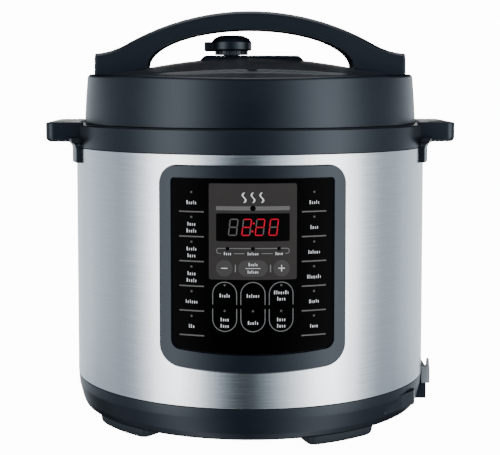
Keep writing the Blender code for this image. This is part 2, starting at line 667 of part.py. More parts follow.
# ---------------------------------------------------------------- lid
def make_lid(finish):
    outer = [(0.0, DOME_TOP_Z)] + [(r, dome_z(r)) for r in (40.0, 76.0, 106.0)]
    outer += [(118.0, SHOULDER_Z - 0.4), (125.2, 259.1), (127.2, 256.0), (128.6, 243.0),
              (LID_R, LID_BOTTOM_Z)]
    inner = [(127.1, LID_BOTTOM_Z), (126.6, 243.0), (124.6, 256.8), (106.0, 258.0)]
    inner += [(r, dome_z(r) - LID_WALL) for r in (60.0, 0.0)]
    cover = add_object("lid_cover", *turned(outer + inner), finish["dark_plastic"])
    opening = pod_outline(0.4)
    combine(cover, cutter("pod_opening", *layered([(opening, 262.0), (opening, 280.0)])),
            "DIFFERENCE")

    pod = add_object("valve_pod", *layered([(pod_outline(0.0), 266.0), (pod_outline(0.0), 273.6),
                                            (pod_outline(-3.3), POD_TOP_Z)]), finish["dark_plastic"])
    valve_hole = rod((VALVE_X, 0.0), 7.0, (260.0, 280.0), 20)
    combine(pod, cutter("valve_hole", *valve_hole), "DIFFERENCE")
    float_hole = rod((FLOAT_X, 0.0), 3.4, (260.0, 280.0), 14)
    combine(pod, cutter("float_hole", *float_hole), "DIFFERENCE")

    make_handle(finish["dark_plastic"])
    make_steel_lid(finish)


def pod_outline(grow):
    half = (POD_X[1] - POD_X[0]) / 2 + grow
    middle = (POD_X[1] + POD_X[0]) / 2
    depth = POD_HALF_DEPTH + grow
    return rounded_rectangle(half, -depth, depth, 8.0 + grow, 4, 1, middle)


def handle_top_z(x):
    """The arch is a circle's arc that sweeps out flat towards its two ends."""
    bend_x, x = 95.0, abs(x)
    drop = HANDLE_ARC_R - math.sqrt(HANDLE_ARC_R ** 2 - min(x, bend_x) ** 2)
    if x <= bend_x:
        return HANDLE_TOP_Z - drop
    slope = -bend_x / math.sqrt(HANDLE_ARC_R ** 2 - bend_x ** 2)
    return HANDLE_TOP_Z - drop + slope * (x - bend_x) + 0.0075 * (x - bend_x) ** 2


def handle_bottom_z(x):
    if abs(x) < ARCH_HALF_SPAN:
        return ARCH_FOOT_Z + ARCH_RISE * math.sqrt(1.0 - (x / ARCH_HALF_SPAN) ** 2)
    if abs(x) < 106.0:
        return dome_z(abs(x)) + GAP
    return SHOULDER_Z + 1.1


def make_handle(finish):
    half = [0.0, 16.0, 32.0, 46.0, 58.0, 68.0, 74.0, 78.0, 79.6, 81.0, 88.0, 96.0, 104.0, 112.0,
            118.4, HANDLE_HALF_LENGTH]
    stations = [-x for x in reversed(half[1:])] + half
    points, faces = [], []
    for x in stations:
        low, high, depth = handle_bottom_z(x), handle_top_z(x), HANDLE_HALF_DEPTH
        if abs(x) == HANDLE_HALF_LENGTH:
            depth, high = depth - 3.0, high - 1.5
        round_by = 4.0
        section = [(depth - 3.0, low), (depth, low + round_by), (depth, high - round_by),
                   (depth - 3.5, high), (3.5 - depth, high), (-depth, high - round_by),
                   (-depth, low + round_by), (3.0 - depth, low)]
        points += [(x, y, z) for y, z in section]
    for i in range(len(stations) - 1):
        for k in range(8):
            m = (k + 1) % 8
            faces.append([i * 8 + k, i * 8 + m, i * 8 + 8 + m, i * 8 + 8 + k])
    faces += [list(range(8)), [(len(stations) - 1) * 8 + k for k in range(8)]]
    add_object("lid_handle", points, faces, finish)


def make_steel_lid(finish):
    r, inner = STEEL_LID_R, STEEL_LID_R - 1.2
    profile = [(0.0, 249.6), (56.0, 247.6), (104.0, 241.9), (r - 1.0, 241.9),
               (r, 240.9), (r, 226.3), (LID_LUG_R, 226.3), (LID_LUG_R, 228.0), (inner, 228.2),
               (inner, 240.6), (104.0, 240.6), (56.0, 246.4), (0.0, 248.4)]

    def with_lugs(radius, z, azimuth):
        if radius != LID_LUG_R:
            return radius
        return inner + (LID_LUG_R - inner) * lug_share(azimuth, LUG_PITCH / 2)

    plate = add_object("steel_lid", *turned(profile, radius_at=with_lugs), finish["polished_steel"])
    combine(plate, cutter("pipe_hole", *rod((VALVE_X, 0.0), 5.5, (240.0, 256.0))), "DIFFERENCE")
    combine(plate, cutter("pin_hole", *rod((FLOAT_X, 0.0), 3.2, (240.0, 256.0), 14)), "DIFFERENCE")

    seal = [(124.4, 239.9), (124.4, 236.2), (118.6, 235.2), (118.6, 232.8), (112.2, 232.8),
            (112.2, 233.8), (117.4, 234.2), (117.4, 236.6), (112.2, 237.4), (112.2, 239.9)]
    add_object("sealing_ring", *turned(seal, INNER_SEGMENTS), finish["silicone"])
    rack = [(111.0, 239.8), (111.0, 234.2), (109.8, 234.2), (109.8, 238.6), (96.0, 238.6),
            (96.0, 239.8)]
    add_object("gasket_rack", *turned(rack, INNER_SEGMENTS), finish["polished_steel"])

    at = (VALVE_X, 0.0)
    pipe = [(5.0, 268.5), (5.0, 251.5), (9.0, 251.5), (9.0, 250.2), (5.0, 250.2), (5.0, 243.0),
            (2.0, 243.0), (2.0, 267.0), (3.0, 268.5)]
    add_object("exhaust_pipe", *turned(pipe, 20, at), finish["polished_steel"])
    shield = [(12.0, 247.2), (12.0, 238.0), (0.0, 237.0), (0.0, 238.1), (11.0, 239.0),
              (11.0, 246.2), (5.4, 246.2), (5.4, 247.2)]
    guard = add_object("anti_block_shield", *turned(shield, 24, at), finish["polished_steel"])
    for n in range(3):
        angle = math.radians(60.0 * n)
        along, across = Vector((math.cos(angle), math.sin(angle))), Vector((-math.sin(angle),
                                                                            math.cos(angle)))
        plan = [tuple(along * a * 14.0 + across * c * 1.6)
                for a, c in ((-1, -1), (1, -1), (1, 1), (-1, 1))]
        combine(guard, cutter(f"shield_slots_{n + 1}", *layered([(plan, 240.4), (plan, 244.8)], at)),
                "DIFFERENCE")

    pin = [(0.0, 276.8), (2.0, 276.8), (2.6, 276.2), (2.6, 243.4), (5.2, 243.2), (5.2, 241.4),
           (0.0, 240.9)]
    add_object("float_valve", *turned(pin, 16, (FLOAT_X, 0.0)), finish["polished_steel"],
               origin=(FLOAT_X, 0.0, 243.2))
    make_steam_valve(finish["black_plastic"])


def make_steam_valve(finish):
    """A round knob with a pointed nose towards -X, on a stem that rests on the exhaust pipe."""
    count = 24

    def outline(radius, nose):
        points = []
        for k in range(count):
            angle = math.tau * k / count
            away = min(abs(math.degrees(angle) - 180.0), 90.0)
            points.append(((radius + nose * max(0.0, 1.0 - away / 28.0)) * math.cos(angle),
                           radius * math.sin(angle)))
        return points

    layers = [(outline(6.0, 0.0), 268.8), (outline(6.0, 0.0), 277.7), (outline(13.0, 0.0), 277.7),
              (outline(13.0, 0.0), 281.0), (outline(16.0, 5.4), 281.0), (outline(16.0, 5.4), 287.6),
              (outline(15.0, 0.0), 289.0), (outline(10.0, 0.0), 292.0)]
    points, faces = layered(layers, (VALVE_X, 0.0))
    add_object("steam_valve", points, faces, finish, origin=(VALVE_X, 0.0, 277.7))


def main():
    for old in list(bpy.data.objects):
        bpy.data.objects.remove(old, do_unlink=True)
    finish = make_materials()
    make_base(finish)
    make_bottom_cover(finish)
    make_inlet(finish)
    make_casing(finish)
    make_collar(finish)
    make_condensate_cup(finish)
    make_pots(finish)
    make_sensor(finish)
    make_base_electrics(finish)
    make_panel(finish)
    make_lid(finish)


TOOL_FINISH = material("cutting_tool", (0.8, 0.2, 0.1), 0.5)
main()
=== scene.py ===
"""Looks of an electric pressure cooker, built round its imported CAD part.

The frame is the part's own: +Z up, front towards -Y, origin on the table under the middle of the pot.
Lengths below are millimetres and become metres where a mesh is made. An azimuth is an angle round the
pot's axis in degrees, 0 at the front and growing towards +X. On the control panel, u is the arc from
its middle and v the height.
"""
import json
import math

import bmesh
import bpy
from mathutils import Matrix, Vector, geometry

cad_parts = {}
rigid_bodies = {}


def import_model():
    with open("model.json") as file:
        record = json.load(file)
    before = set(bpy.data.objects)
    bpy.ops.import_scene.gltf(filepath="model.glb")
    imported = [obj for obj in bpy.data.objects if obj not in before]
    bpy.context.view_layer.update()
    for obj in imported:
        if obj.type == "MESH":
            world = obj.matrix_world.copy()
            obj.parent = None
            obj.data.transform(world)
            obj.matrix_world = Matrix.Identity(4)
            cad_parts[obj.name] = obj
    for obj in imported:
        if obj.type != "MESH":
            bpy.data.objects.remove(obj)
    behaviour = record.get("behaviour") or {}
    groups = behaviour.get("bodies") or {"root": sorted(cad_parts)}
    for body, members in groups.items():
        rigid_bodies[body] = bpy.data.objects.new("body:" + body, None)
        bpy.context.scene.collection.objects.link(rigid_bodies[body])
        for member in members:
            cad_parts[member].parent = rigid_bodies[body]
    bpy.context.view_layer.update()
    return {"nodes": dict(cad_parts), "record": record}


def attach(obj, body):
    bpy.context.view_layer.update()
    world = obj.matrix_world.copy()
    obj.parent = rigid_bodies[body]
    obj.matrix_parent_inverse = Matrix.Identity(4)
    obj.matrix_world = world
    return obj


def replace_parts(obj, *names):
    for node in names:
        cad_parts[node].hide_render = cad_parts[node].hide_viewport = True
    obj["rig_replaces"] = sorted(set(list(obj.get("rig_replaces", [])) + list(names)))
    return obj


MM = 0.001

# ---------------------------------------------------------------- driving dimensions
SEGMENTS = 192

STEEL_R = 135.9
STEEL_WALL = 0.8
STEEL_Z = (31.3, 207.2)

BASE_TOP_Z = 31.0
FOOT_AZIMUTHS = {"front_left": -50.5, "front_right": 31.5, "rear_right": 128.0, "rear_left": -148.5}
FOOT_SPAN = 26.5
FOOT_HEIGHT = 8.7
SCREW_AZIMUTHS = (80.0, -100.0)
SCREW_AT_R = 96.8
INLET_X = (126.0, 140.3)        # mains inlet, on the right-hand side of the base

COLLAR_R = 136.2
COLLAR_Z = (207.5, 225.0)
EAR_REACH = 155.6
EAR_HALF_DEPTH = 43.5
EAR_Z = (211.6, 226.3)
EAR_CORNER = 7.0
TAB_R = 139.2
TAB_BOTTOM_Z = 195.8
TAB_HALF_SPAN = 19.0            # degrees
TAB_FILLET = 6.0
CUP_Y = (135.4, 142.2)          # condensate cup at the back
CUP_Z = (165.0, 207.0)
CUP_HALF_WIDTH = 30.0
CUP_WALL = 1.2

LID_R = 129.4
LID_BOTTOM_Z = 225.1
SHOULDER_Z = 260.2
DOME_TOP_Z = 275.5
DOME_R = 411.0
LID_WALL = 2.2
RECESS_ARC_R = 260.0            # rear edge of the shallow recess at the front and back of the dome
RECESS_Y = 88.0
RECESS_DEPTH = 1.9
RECESS_HALF_WIDTH = 84.0
RIM_RISE = 2.6                  # how much higher the lid's rim is at the handle's feet

HANDLE_TOP_Z = 311.6
HANDLE_ARC_R = 192.0
HANDLE_HALF_LENGTH = 120.3
HANDLE_HALF_DEPTH = 22.0
ARCH_HALF_SPAN = 79.8
ARCH_FOOT_Z = 268.0
ARCH_RISE = 29.1
HANDLE_BEND_X = 95.0            # beyond this the arch sweeps out flat
HANDLE_SWEEP = 0.0105
HANDLE_END_R = 1.6
DRAFT = 0.08                    # how far the handle's sides lean in for each mm they rise

VALVE_X = -14.6
FLOAT_X = 16.0
POD_X = (-40.0, 42.5)
POD_HALF_DEPTH = 16.0
POD_TOP_Z = 277.3

PANEL_R = 136.3
FILM_R = 137.15
BEZEL_OUTER = {"half_width": 67.5, "low": 56.3, "high": 200.3, "low_corner": 15.0, "high_corner": 13.5,
               "bow": 4.6}
BEZEL_INNER = {"half_width": 57.4, "low": 69.5, "high": 191.4, "low_corner": 6.0, "high_corner": 2.4,
               "bow": 3.4}
WINDOW = {"half_width": 63.3, "low": 66.8, "high": 195.2, "corner": 8.0}
PRINT_STEP = 0.04               # thickness of one printed layer
COLUMN_STEP = 2.4               # flat facets of a plate that is bent round the panel
DIGIT_WIDTH = 5.4
DIGIT_HEIGHT = 11.0
DIGIT_LINE = 0.85
DIGIT_SLANT = 0.114
SEGMENT_ENDS = {"a": (0, 2, 1, 2), "b": (1, 2, 1, 1), "c": (1, 1, 1, 0), "d": (0, 0, 1, 0),
                "e": (0, 1, 0, 0), "f": (0, 2, 0, 1), "g": (0, 1, 1, 1)}

LUG_PITCH = 60.0                # six bayonet lugs
OUTER_POT_LUGS = (121.2, 124.4)             # radius between the lugs and at their tips
STEEL_LID_LUGS = (125.2, 121.8)

# ---------------------------------------------------------------- camera and light
CAMERA_AZIMUTH = -0.85
CAMERA_DISTANCE = 968.5
CAMERA_Z = 260.06
CAMERA_TILT = 3.966             # degrees below level
CAMERA_LENS = 88.132
CAMERA_SHIFT_Y = -0.13
SENSOR_WIDTH = 36.0

# World brightness round the pot: degrees from the front towards +X, and a share of WORLD_STRENGTH.
WORLD_BANDS = ((-180.0, 0.65), (-160.0, 0.20), (-132.0, 0.175), (-116.0, 0.14), (-104.0, 0.115),
               (-92.0, 0.092), (-81.0, 0.125), (-72.0, 0.27), (-60.0, 0.66), (-48.0, 0.80), (-38.0, 0.48),
               (-27.0, 0.17), (-17.0, 0.050), (-9.0, 0.014), (0.0, 0.012), (10.0, 0.055), (20.0, 0.16),
               (32.0, 0.38), (45.0, 0.78), (57.0, 0.86), (68.0, 0.50), (80.0, 0.175), (93.0, 0.095),
               (106.0, 0.105), (120.0, 0.15), (138.0, 0.19), (160.0, 0.22), (180.0, 0.65))
WORLD_DARK_TINT = (0.74, 0.88, 1.0)         # the dark bands are bluish
CLEAR_LEVEL = 0.6               # bands at or above this level are white
FRONT_SOFTBOX = (0.075, 0.088, 0.10)        # above the camera, in front
WORLD_STRENGTH = 6.7
BACKDROP = 14.0                 # how bright the camera sees the world
FLOOR_GLOW = 13.0
FLOOR_HALF = 12000.0
FLOOR_Z = (-40.0, -0.4)
LAMP_POWER = 14.0               # watts
LAMP_SIZE = (1.6, 1.2)          # metres
LAMP_PLACE = (0.0, 0.5, 1.9)
LAMP_TILT = -14.0

# ---------------------------------------------------------------- colours
BLUISH = (0.76, 0.88, 1.0)      # tint of the highlights on the dark plastics
EVEN = (1.0, 1.0, 1.0)          # noise that isn't drawn out along any axis


# ---------------------------------------------------------------- shapes
def polar(radius, azimuth, z=0.0):
    """The place at a radius and an azimuth from the pot's axis."""
    angle = math.radians(azimuth)
    return (radius * math.sin(angle), -radius * math.cos(angle), z)


def eased(share):
    """A smooth step from 0 to 1."""
    share = min(1.0, max(0.0, share))
    return share * share * (3.0 - 2.0 * share)


def softened(corners, closed=True, steps=5):
    """A line of (a, b) or (a, b, radius) corners with every given radius made into an arc."""
    line, count = [], len(corners)
    for i, corner in enumerate(corners):
        here = Vector(corner[:2])
        radius = corner[2] if len(corner) > 2 else 0.0
        if radius == 0.0 or (not closed and i in (0, count - 1)):
            line.append(tuple(here))
            continue
        before = (Vector(corners[i - 1][:2]) - here).normalized()
        after = (Vector(corners[(i + 1) % count][:2]) - here).normalized()
        half = before.angle(after) / 2.0
        centre = here + (before + after).normalized() * (radius / math.sin(half))
        first = here + before * (radius / math.tan(half)) - centre
        last = here + after * (radius / math.tan(half)) - centre
        for k in range(steps + 1):
            spoke = first.lerp(last, k / steps).normalized() * radius
            line.append(tuple(centre + spoke))
    return line


def turned(profile, segments=SEGMENTS, centre=(0.0, 0.0), shape_at=None):
    """Points and faces of a closed profile of (radius, z) turned round a vertical axis.

    shape_at(index, radius, z, azimuth) may move a point on the way round.
    """
    points, rings = [], []
    for i, (radius, z) in enumerate(profile):
        if radius == 0.0:
            rings.append([len(points)] * segments)
            points.append((centre[0], centre[1], z))
            continue
        ring = []
        for k in range(segments):
            azimuth = 360.0 * k / segments
            r, height = shape_at(i, radius, z, azimuth) if shape_at else (radius, z)
            x, y, _ = polar(r, azimuth)
            ring.append(len(points))
            points.append((x + centre[0], y + centre[1], height))
        rings.append(ring)
    faces = []
    for i, ring in enumerate(rings):
        above = rings[(i + 1) % len(rings)]
        for k in range(segments):
            m = (k + 1) % segments
            corners = [ring[k], ring[m], above[m], above[k]]
            kept = [c for n, c in enumerate(corners) if c != corners[n - 1]]
            if len(kept) >= 3:
                faces.append(kept)
    return points, faces


def stacked(loops):
    """Points and faces of a skin over closed loops with the same number of points, with end caps."""
    count = len(loops[0])
    points = [p for loop in loops for p in loop]
    faces = []
    for i in range(len(loops) - 1):
        low, high = i * count, (i + 1) * count
        for k in range(count):
            m = (k + 1) % count
            faces.append([low + k, low + m, high + m, high + k])
    faces.append(list(range(count)))
    faces.append([(len(loops) - 1) * count + k for k in range(count)])
    return points, faces


def layered(layers, origin=(0.0, 0.0)):
    """A stack of level outlines, each (outline, z)."""
    return stacked([[(x + origin[0], y + origin[1], z) for x, y in outline] for outline, z in layers])


def box(x, y, z):
    outline = [(x[0], y[0]), (x[1], y[0]), (x[1], y[1]), (x[0], y[1])]
    return layered([(outline, z[0]), (outline, z[1])])


def rod(centre, radius, z, segments=48):
    return turned([(0.0, z[1]), (radius, z[1]), (radius, z[0]), (0.0, z[0])], segments, centre)


def rounded_rectangle(half_width, low, high, corner, corner_steps=8, middle=0.0):
    """Corners of a rounded rectangle, counterclockwise."""
    points = []
    centres = [(half_width - corner, low + corner, -90.0), (half_width - corner, high - corner, 0.0),
               (corner - half_width, high - corner, 90.0), (corner - half_width, low + corner, 180.0)]
    for cx, cy, start in centres:
        for k in range(corner_steps + 1):
            angle = math.radians(start + 90.0 * k / corner_steps)
            points.append((middle + cx + corner * math.cos(angle), cy + corner * math.sin(angle)))
    return points


def circle(centre, radius, count=24):
    return [(centre[0] + radius * math.cos(math.tau * k / count),
             centre[1] + radius * math.sin(math.tau * k / count)) for k in range(count)]


def inside(point, outline):
    hit = False
    for (x0, y0), (x1, y1) in zip(outline, outline[1:] + outline[:1]):
        if (y0 > point[1]) != (y1 > point[1]):
            if point[0] < x0 + (point[1] - y0) * (x1 - x0) / (y1 - y0):
                hit = not hit
    return hit


def plate(outline, holes, back, front):
    """A plate with holes between two radii, bent round the panel at a row of upright columns."""
    flat, edges = [], []
    for loop in [outline] + holes:
        first = len(flat)
        flat += [Vector(p) for p in loop]
        edges += [(first + k, first + (k + 1) % len(loop)) for k in range(len(loop))]
    across, upright = zip(*outline)
    first_column = math.ceil((min(across) + 0.1) / COLUMN_STEP)
    last_column = math.floor((max(across) - 0.1) / COLUMN_STEP)
    for k in range(first_column, last_column + 1):
        edges.append((len(flat), len(flat) + 1))
        flat += [Vector((COLUMN_STEP * k, v)) for v in (min(upright) - 1.0, max(upright) + 1.0)]
    flat, _, cells = geometry.delaunay_2d_cdt(flat, edges, [], 0, 1e-5)[:3]
    index, points, faces, sides = {}, [], [], {}

    def corner(i, level):
        if (i, level) not in index:
            index[i, level] = len(points)
            points.append(on_panel(flat[i][0], flat[i][1], level))
        return index[i, level]

    for cell in cells:
        middle = sum((flat[i] for i in cell), Vector((0.0, 0.0))) / len(cell)
        if not inside(middle, outline) or any(inside(middle, hole) for hole in holes):
            continue
        faces.append([corner(i, front) for i in cell])
        faces.append([corner(i, back) for i in reversed(cell)])
        for k, i in enumerate(cell):
            pair = frozenset((i, cell[k - 1]))
            sides[pair] = sides.get(pair, 0) + 1
    for pair, uses in sides.items():
        if uses == 1:
            i, j = sorted(pair)
            faces.append([corner(i, front), corner(j, front), corner(j, back), corner(i, back)])
    return points, faces


def together(shapes):
    """Several (points, faces) as one."""
    points, faces = [], []
    for more_points, more_faces in shapes:
        first = len(points)
        points += more_points
        faces += [[first + i for i in face] for face in more_faces]
    return points, faces


def on_panel(u, v, radius):
    return polar(radius, math.degrees(u / PANEL_R), v)


# ---------------------------------------------------------------- objects
def solid(name, shape):
    """A closed mesh object from points in millimetres."""
    bm = bmesh.new()
    corners = [bm.verts.new(Vector(p) * MM) for p in shape[0]]
    for face in shape[1]:
        bm.faces.new([corners[i] for i in face])
    bmesh.ops.recalc_face_normals(bm, faces=bm.faces)
    mesh = bpy.data.meshes.new(name)
    bm.to_mesh(mesh)
    bm.free()
    made = bpy.data.objects.new(name, mesh)
    bpy.context.scene.collection.objects.link(made)
    return made


def carve(target, shapes, operation="DIFFERENCE"):
    """Cuts shapes out of a solid, or joins them to it where the operation is UNION."""
    for shape in shapes:
        tool = solid("tool", shape)
        step = target.modifiers.new("carve", "BOOLEAN")
        step.operation = operation
        step.object = tool
        step.solver = "EXACT"
        graph = bpy.context.evaluated_depsgraph_get()
        mesh = bpy.data.meshes.new_from_object(target.evaluated_get(graph))
        target.modifiers.clear()
        target.data = mesh
        bpy.data.objects.remove(tool)
    target.data.name = target.name
    return target


def edge_rounding(target, width, steps=3):
    bevel = target.modifiers.new("edge_rounding", "BEVEL")
    bevel.width = width * MM
    bevel.segments = steps
    bevel.limit_method = "ANGLE"
    bevel.angle_limit = math.radians(40.0)
    bevel.harden_normals = True
    return target


def finished(target, finish, body, slot, nodes=(), sharp=32.0, look=None):
    """Gives a piece its finish, and says which body it moves with and which CAD nodes it stands for."""
    target.data.materials.clear()
    target.data.materials.append(finish[look or slot])
    target.data.shade_smooth()
    target.data.set_sharp_from_angle(angle=math.radians(sharp))
    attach(target, body)
    if nodes:
        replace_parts(target, *nodes)
    return target


# ---------------------------------------------------------------- materials
def new_material(name):
    made = bpy.data.materials.new(name)
    made.use_nodes = True
    return made, made.node_tree, made.node_tree.nodes["Principled BSDF"]


def feed(tree, node, values):
    """Sets a node's inputs by name, each to a value or to the output of another node."""
    for name, value in values.items():
        if isinstance(value, bpy.types.NodeSocket):
            tree.links.new(value, node.inputs[name])
        else:
            node.inputs[name].default_value = value
    return node


def stretched_noise(tree, scale, detail=3.0, stretch=EVEN):
    """Noise over the object's own place, drawn out along the axes that have a small number."""
    place = tree.nodes.new("ShaderNodeTexCoord").outputs["Object"]
    mapping = feed(tree, tree.nodes.new("ShaderNodeMapping"), {"Vector": place, "Scale": stretch})
    noise = tree.nodes.new("ShaderNodeTexNoise")
    feed(tree, noise, {"Vector": mapping.outputs["Vector"], "Scale": scale, "Detail": detail})
    return noise.outputs["Fac"]


def between(tree, source, low, high):
    """A number that runs from low to high as the source runs from 0.3 to 0.7."""
    ranged = tree.nodes.new("ShaderNodeMapRange")
    feed(tree, ranged, {"Value": source, "From Min": 0.3, "From Max": 0.7, "To Min": low, "To Max": high})
    return ranged.outputs["Result"]


def two_colours(tree, source, first, second):
    """A colour that runs from the first to the second as the source runs from 0.3 to 0.7."""
    ramp = feed(tree, tree.nodes.new("ShaderNodeValToRGB"), {"Fac": source})
    for element, position, colour in zip(ramp.color_ramp.elements, (0.3, 0.7), (first, second)):
        element.position = position
        element.color = (*colour, 1.0)
    return ramp.outputs["Color"]


def bumped(tree, source, distance):
    """A surface direction that follows the source as a relief of that many millimetres."""
    node = tree.nodes.new("ShaderNodeBump")
    feed(tree, node, {"Height": source, "Distance": distance * MM, "Strength": 1.0})
    return node.outputs["Normal"]


def moulded(name, colour, roughness, specular=0.5, grain=0.012, tint=0.10, sheen=EVEN):
    """Moulded plastic or rubber with a fine grain. sheen is the tint of its highlights."""
    made, tree, shader = new_material(name)
    cloud = stretched_noise(tree, 22.0)
    lighter = tuple(c * (1.0 + tint) for c in colour)
    darker = tuple(c * (1.0 - tint) for c in colour)
    feed(tree, shader, {"Base Color": two_colours(tree, cloud, darker, lighter),
                        "Roughness": between(tree, cloud, roughness - 0.02, roughness + 0.02),
                        "Specular IOR Level": specular, "Specular Tint": (*sheen, 1.0),
                        "Normal": bumped(tree, stretched_noise(tree, 1400.0, 2.0), grain)})
    return made


def brushed(name, colour, roughness, scale, stretch=EVEN, anisotropic=0.0, depth=0.004):
    """Metal with fine lines drawn out along the axes that have a small number in stretch."""
    made, tree, shader = new_material(name)
    lines = stretched_noise(tree, scale, 4.0, stretch)
    lighter = tuple(min(1.0, c * 1.05) for c in colour)
    darker = tuple(c * 0.95 for c in colour)
    feed(tree, shader, {"Base Color": two_colours(tree, lines, darker, lighter),
                        "Roughness": between(tree, lines, roughness - 0.04, roughness + 0.04),
                        "Metallic": 1.0, "Normal": bumped(tree, lines, depth)})
    if anisotropic:
        tangent = tree.nodes.new("ShaderNodeTangent")
        tangent.direction_type = "RADIAL"
        tangent.axis = "Z"
        feed(tree, shader, {"Anisotropic": anisotropic, "Anisotropic Rotation": 0.25,
                            "Tangent": tangent.outputs["Tangent"]})
    return made


def printed_ink(name, colour, glow=0.0):
    """Matt ink that is a little uneven. Lit ink also glows."""
    made, tree, shader = new_material(name)
    cloud = stretched_noise(tree, 90.0)
    darker = tuple(c * 0.94 for c in colour)
    feed(tree, shader, {"Base Color": two_colours(tree, cloud, darker, colour), "Roughness": 0.5,
                        "Specular IOR Level": 0.03})
    if glow:
        feed(tree, shader, {"Emission Color": (*colour, 1.0), "Emission Strength": glow})
    return made


def see_through(name, colour, roughness, share):
    """Tinted plastic that lets a share of the light through."""
    made = moulded(name, colour, roughness, 0.5, 0.004)
    shader = made.node_tree.nodes["Principled BSDF"]
    feed(made.node_tree, shader, {"Transmission Weight": share, "IOR": 1.45})
    return made


def make_finishes():
    """One finish for each material slot of the part."""
    finish = {}

    def add(maker, name, colour, roughness, *numbers, **named):
        finish[name] = maker(name, colour, roughness, *numbers, **named)

    add(moulded, "dark_plastic", (0.0048, 0.0064, 0.0106), 0.31, specular=0.36, grain=0.010, sheen=BLUISH)
    add(moulded, "black_plastic", (0.0045, 0.0060, 0.0095), 0.38, specular=0.40, grain=0.010, sheen=BLUISH)
    add(moulded, "gloss_black", (0.0004, 0.0004, 0.0005), 0.30, specular=0.015, grain=0.0, tint=0.05)
    add(moulded, "key_plastic", (0.05, 0.05, 0.055), 0.50)
    add(brushed, "brushed_steel", (0.69, 0.715, 0.745), 0.22, 1500.0, (0.02, 0.02, 1.0), anisotropic=0.4)
    add(brushed, "polished_steel", (0.72, 0.72, 0.72), 0.20, 900.0, (0.3, 0.3, 1.0), depth=0.002)
    add(brushed, "zinc_steel", (0.52, 0.54, 0.56), 0.40, 260.0)
    add(brushed, "cast_aluminium", (0.56, 0.57, 0.58), 0.45, 700.0, depth=0.02)
    add(moulded, "silicone", (0.70, 0.70, 0.67), 0.55, specular=0.4, grain=0.01, tint=0.03)
    add(see_through, "clear_grey", (0.22, 0.24, 0.265), 0.30, share=0.2)
    add(moulded, "circuit_board", (0.02, 0.13, 0.05), 0.45, grain=0.02, tint=0.3)
    add(moulded, "foot_rubber", (0.007, 0.009, 0.012), 0.60, specular=0.3, grain=0.03, sheen=BLUISH)
    add(brushed, "spring_steel", (0.50, 0.50, 0.52), 0.30, 600.0)
    add(moulded, "lead_sleeve", (0.60, 0.52, 0.30), 0.75, specular=0.3, grain=0.08)
    return finish


def make_inks():
    return {
        "white": printed_ink("ink_white", (0.62, 0.63, 0.65)),
        "line": printed_ink("ink_line", (0.15, 0.15, 0.152)),
        "faint": printed_ink("ink_faint", (0.115, 0.11, 0.108)),
        "sub_panel": printed_ink("ink_sub_panel", (0.032, 0.0295, 0.0285)),
        "disc": printed_ink("ink_disc", (0.052, 0.049, 0.048)),
        "black": printed_ink("ink_black", (0.0004, 0.0004, 0.0005)),
        "lit": printed_ink("digit_lit", (0.36, 0.006, 0.018), 0.45),
        "unlit": printed_ink("digit_unlit", (0.085, 0.08, 0.08)),
    }


# ---------------------------------------------------------------- base
def make_base(finish):
    """The bulging plastic ring under the casing, with its lug, its cuts for the inlet and its feet."""
    profile = softened([
        (135.8, BASE_TOP_Z, 0.6), (135.2, 23.5, 8.0), (132.6, 12.8, 6.0), (130.8, 8.6, 2.0),
        (128.8, 7.3, 0.6), (92.0, 7.3, 0.5), (92.0, 12.5), (124.5, 12.5), (129.4, 19.0), (131.4, 25.0),
        (131.4, 38.0), (133.9, 38.0), (133.9, BASE_TOP_Z)])
    base = solid("base_shell", turned(profile))
    plan = softened([
        polar(128.0, 46.0)[:2], (*polar(133.6, 46.5)[:2], 2.0), (*polar(135.8, 55.0)[:2], 8.0),
        (*polar(138.0, 62.3)[:2], 1.2), (*polar(137.0, 64.6)[:2], 1.2), polar(130.0, 66.0)[:2]])
    lug = layered([(plan, 15.0), (plan, 25.5)])
    carve(base, [lug], "UNION")
    notch = box((125.6, 145.0), (-7.9, 31.4), (8.0, 30.7))
    shelf = box((125.6, 145.0), (-11.4, -7.7), (8.0, 17.5))
    well = box((110.0, 128.0), (-0.3, 28.3), (8.0, 29.0))
    holes = [rod(polar(SCREW_AT_R, azimuth)[:2], 1.9, (8.0, 14.0)) for azimuth in SCREW_AZIMUTHS]
    carve(base, [notch, shelf, well] + holes)
    finished(base, finish, "housing", "dark_plastic", ["base_housing"])

    for place, azimuth in FOOT_AZIMUTHS.items():
        make_foot(place, azimuth, finish)


def make_foot(place, azimuth, finish):
    """A lobe under the base's rim with soft corners, a little smaller where it meets the table."""
    steps = 6

    def lobe(outer, inner, span):
        ring = [azimuth - span / 2 + span * k / steps for k in range(steps + 1)]
        corners = [polar(outer, a)[:2] for a in ring] + [polar(inner, a)[:2] for a in reversed(ring)]
        for n in (0, steps):
            corners[n] = (*corners[n], 4.5)
        for n in (steps + 1, 2 * steps + 1):
            corners[n] = (*corners[n], 2.5)
        return softened(corners)

    layers = [(lobe(124.6, 108.8, FOOT_SPAN - 2.4), 0.0), (lobe(125.8, 108.0, FOOT_SPAN - 1.5), 0.4),
              (lobe(127.2, 107.2, FOOT_SPAN - 0.7), 1.8), (lobe(127.8, 106.5, FOOT_SPAN - 0.3), 4.0),
              (lobe(128.0, 106.1, FOOT_SPAN), 6.2), (lobe(128.0, 106.0, FOOT_SPAN), FOOT_HEIGHT)]
    foot = solid(f"foot_{place}_moulding", layered(layers))
    finished(foot, finish, "housing", "foot_rubber", [f"foot_{place}"], 40.0)


